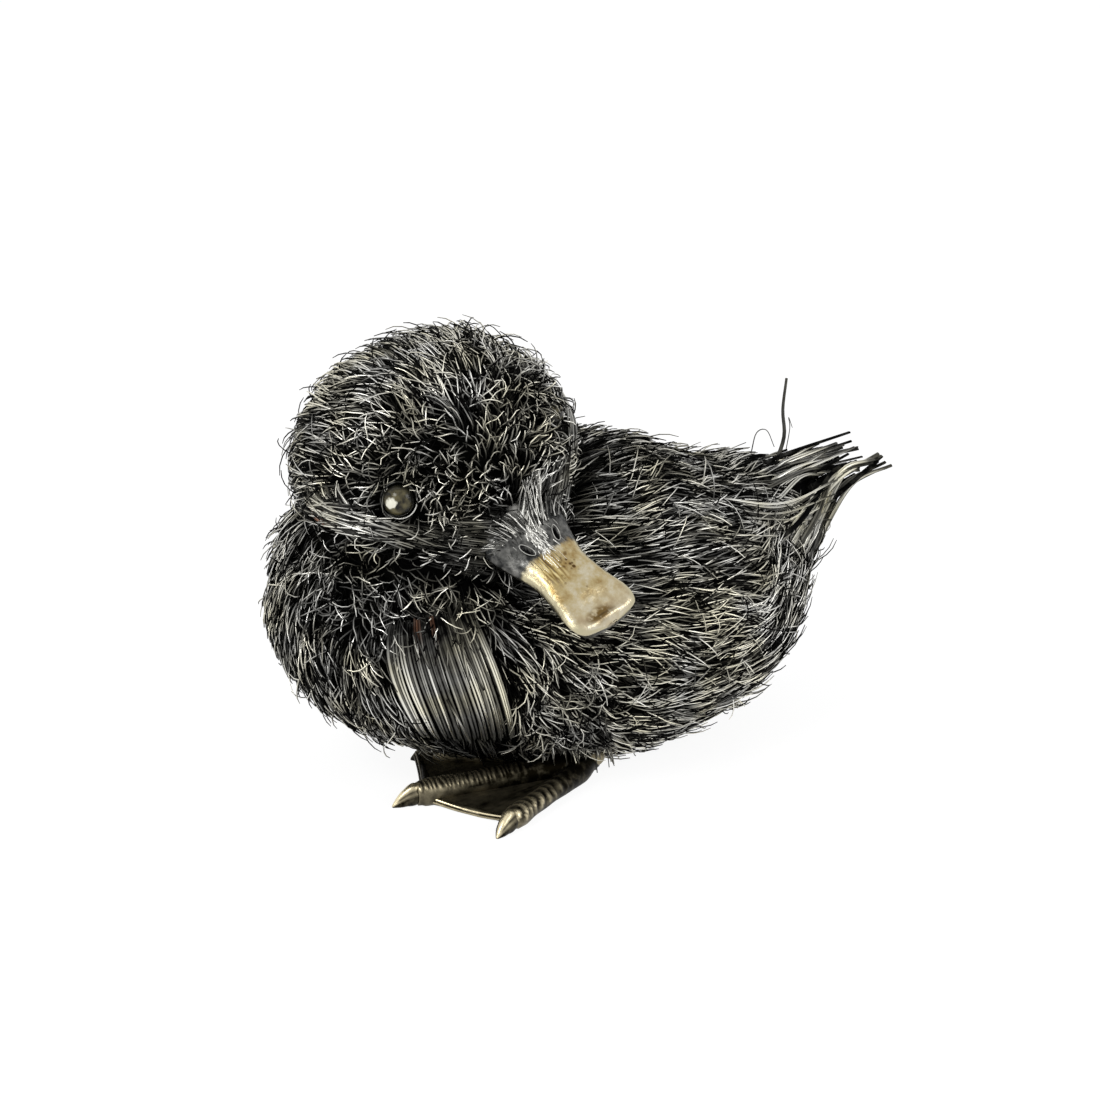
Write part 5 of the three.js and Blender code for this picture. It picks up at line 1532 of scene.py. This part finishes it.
THIGH_REACH = 9.5
THIGH_HEIGHT = 8
THIGH_SAG = (0, 0, -1.4)

for side, heel in heels.items():
    chance = np.random.default_rng(71 if side == "left" else 72)
    around = np.linalg.norm(body_roots[:, :2] - heel[:2], axis=1)
    at_thigh = (around < THIGH_REACH) & (body_roots[:, 2] < THIGH_HEIGHT)
    roots = body_roots[at_thigh & (body_roots[:, 1] < heel[1] + 1.5)]
    roots = roots + chance.normal(0, 0.4, roots.shape)
    count = len(roots)
    downward = outward(body_form, roots) * 0.8 + np.array((0, 0.1, -0.6))
    over = unit(downward + chance.normal(0, 0.45, (count, 3)))
    length = chance.uniform(1.6, 4.6, count)[:, None, None]
    share = np.linspace(0, 1, WIRE_STEPS)[None, :, None]
    lines = roots[:, None] + over[:, None] * length * share + np.array(THIGH_SAG) * share ** 2
    lines[:, :, 2] = np.maximum(lines[:, :, 2], 0.4)
    radii = WIRE_RADIUS * chance.uniform(0.85, 1.1, count)[:, None] * np.linspace(1, 0.7, WIRE_STEPS)
    mesh, corners = drawn_wires(f"thigh_tufts_{side}", lines, radii)
    worn = np.clip(chance.gamma(1.1, 0.35, count)[:, None] * np.ones(WIRE_STEPS), 0, 1)
    set_wire_values(mesh, "polish", rubbed_and_highlit(lines, corners, outward(body_form, lines), worn))
    set_wire_values(mesh, "copper", np.zeros(corners.shape[:3]))
    add_piece(f"thigh_tufts_{side}", mesh, coat_silver, "oxidised_silver", "body_shell_lower")

# Stand: a plain white floor and a white room, two soft lamps and a low one, and a camera a
# little above the bird on its left side.

FLOOR_SIZE = 4  # in metres, as all of the stand
FLOOR_GLOW = 1.14
FLOOR_GLOW_SHARE = 0.8
ROOM_LIGHT = 0.55  # of its brightness to the camera
LAMP_AIM = (0, 0, 0.04)
LOW_LAMP_AIM = (0, 0, 0.05)
CAMERA_BEARING = math.radians(60)
CAMERA_RISE = math.radians(22)
CAMERA_DISTANCE = 0.560
CAMERA_LENS = 102.63
CAMERA_SENSOR = 36
AIM_RIGHT = 0.0016
AIM_UP = 0.05995


def seen_directly(tree):
    """1 for what the camera sees, straight or through a mirror or glass, and 0 for other light."""
    rays = tree.nodes.new("ShaderNodeLightPath").outputs
    seen = worked_out(tree, "MAXIMUM", rays["Is Camera Ray"], rays["Is Glossy Ray"])
    return worked_out(tree, "MAXIMUM", seen, rays["Is Transmission Ray"])


def put_in_scene(name, contents):
    holder = bpy.data.objects.new(name, contents)
    bpy.context.scene.collection.objects.link(holder)
    return holder


def turn_along(holder, direction):
    """Turns a lamp or a camera to look along a direction, upright."""
    holder.rotation_mode = "QUATERNION"
    holder.rotation_quaternion = direction.to_track_quat("-Z", "Y")


def soft_lamp(name, place, aim, size, power):
    lamp = bpy.data.lights.new(name, "AREA")
    lamp.size = size
    lamp.energy = power
    holder = put_in_scene(name, lamp)
    holder.location = place
    turn_along(holder, Vector(aim) - Vector(place))


white_floor, tree, shader = new_finish("white_floor", metallic=0, roughness=0.9)
fill(tree, shader, Base_Color=(0.85, 0.85, 0.85))
glow = add_node(tree, "ShaderNodeEmission", Strength=FLOOR_GLOW)
glow_share = worked_out(tree, "MULTIPLY", seen_directly(tree), FLOOR_GLOW_SHARE)
blend = add_node(tree, "ShaderNodeMixShader", Fac=glow_share)
feed(tree, blend.inputs[1], shader.outputs["BSDF"])
feed(tree, blend.inputs[2], glow.outputs["Emission"])
feed(tree, tree.nodes["Material Output"].inputs["Surface"], blend.outputs["Shader"])

floor = bmesh.new()
bmesh.ops.create_grid(floor, x_segments=1, y_segments=1, size=FLOOR_SIZE)
floor_mesh = to_mesh("floor", floor)
floor_mesh.materials.append(white_floor)
put_in_scene("floor", floor_mesh)

room = bpy.data.worlds.new("white_room")
bpy.context.scene.world = room
room.use_nodes = True
tree = room.node_tree
brightness = ranged(tree, seen_directly(tree), 0, 1, ROOM_LIGHT, 1)
fill(tree, tree.nodes["Background"], Color=(1, 1, 1), Strength=brightness)

soft_lamp("key_lamp", (0.25, -0.75, 0.75), LAMP_AIM, 0.35, 3.2)
soft_lamp("fill_lamp", (0.75, 0.45, 0.55), LAMP_AIM, 0.45, 2.0)
soft_lamp("low_lamp", (0.1, -0.62, 0.09), LOW_LAMP_AIM, 0.14, 0.4)

back = Vector((
    math.sin(CAMERA_BEARING) * math.cos(CAMERA_RISE),
    -math.cos(CAMERA_BEARING) * math.cos(CAMERA_RISE),
    math.sin(CAMERA_RISE),
))
right = Vector((math.cos(CAMERA_BEARING), math.sin(CAMERA_BEARING), 0))
up = back.cross(right)
camera = bpy.data.cameras.new("camera")
camera.sensor_width = CAMERA_SENSOR
camera.lens = CAMERA_LENS
camera_holder = put_in_scene("camera", camera)
camera_holder.location = back * CAMERA_DISTANCE
turn_along(camera_holder, right * AIM_RIGHT + up * AIM_UP - back)
bpy.context.scene.camera = camera_holder
bpy.context.scene.view_settings.view_transform = "Standard"
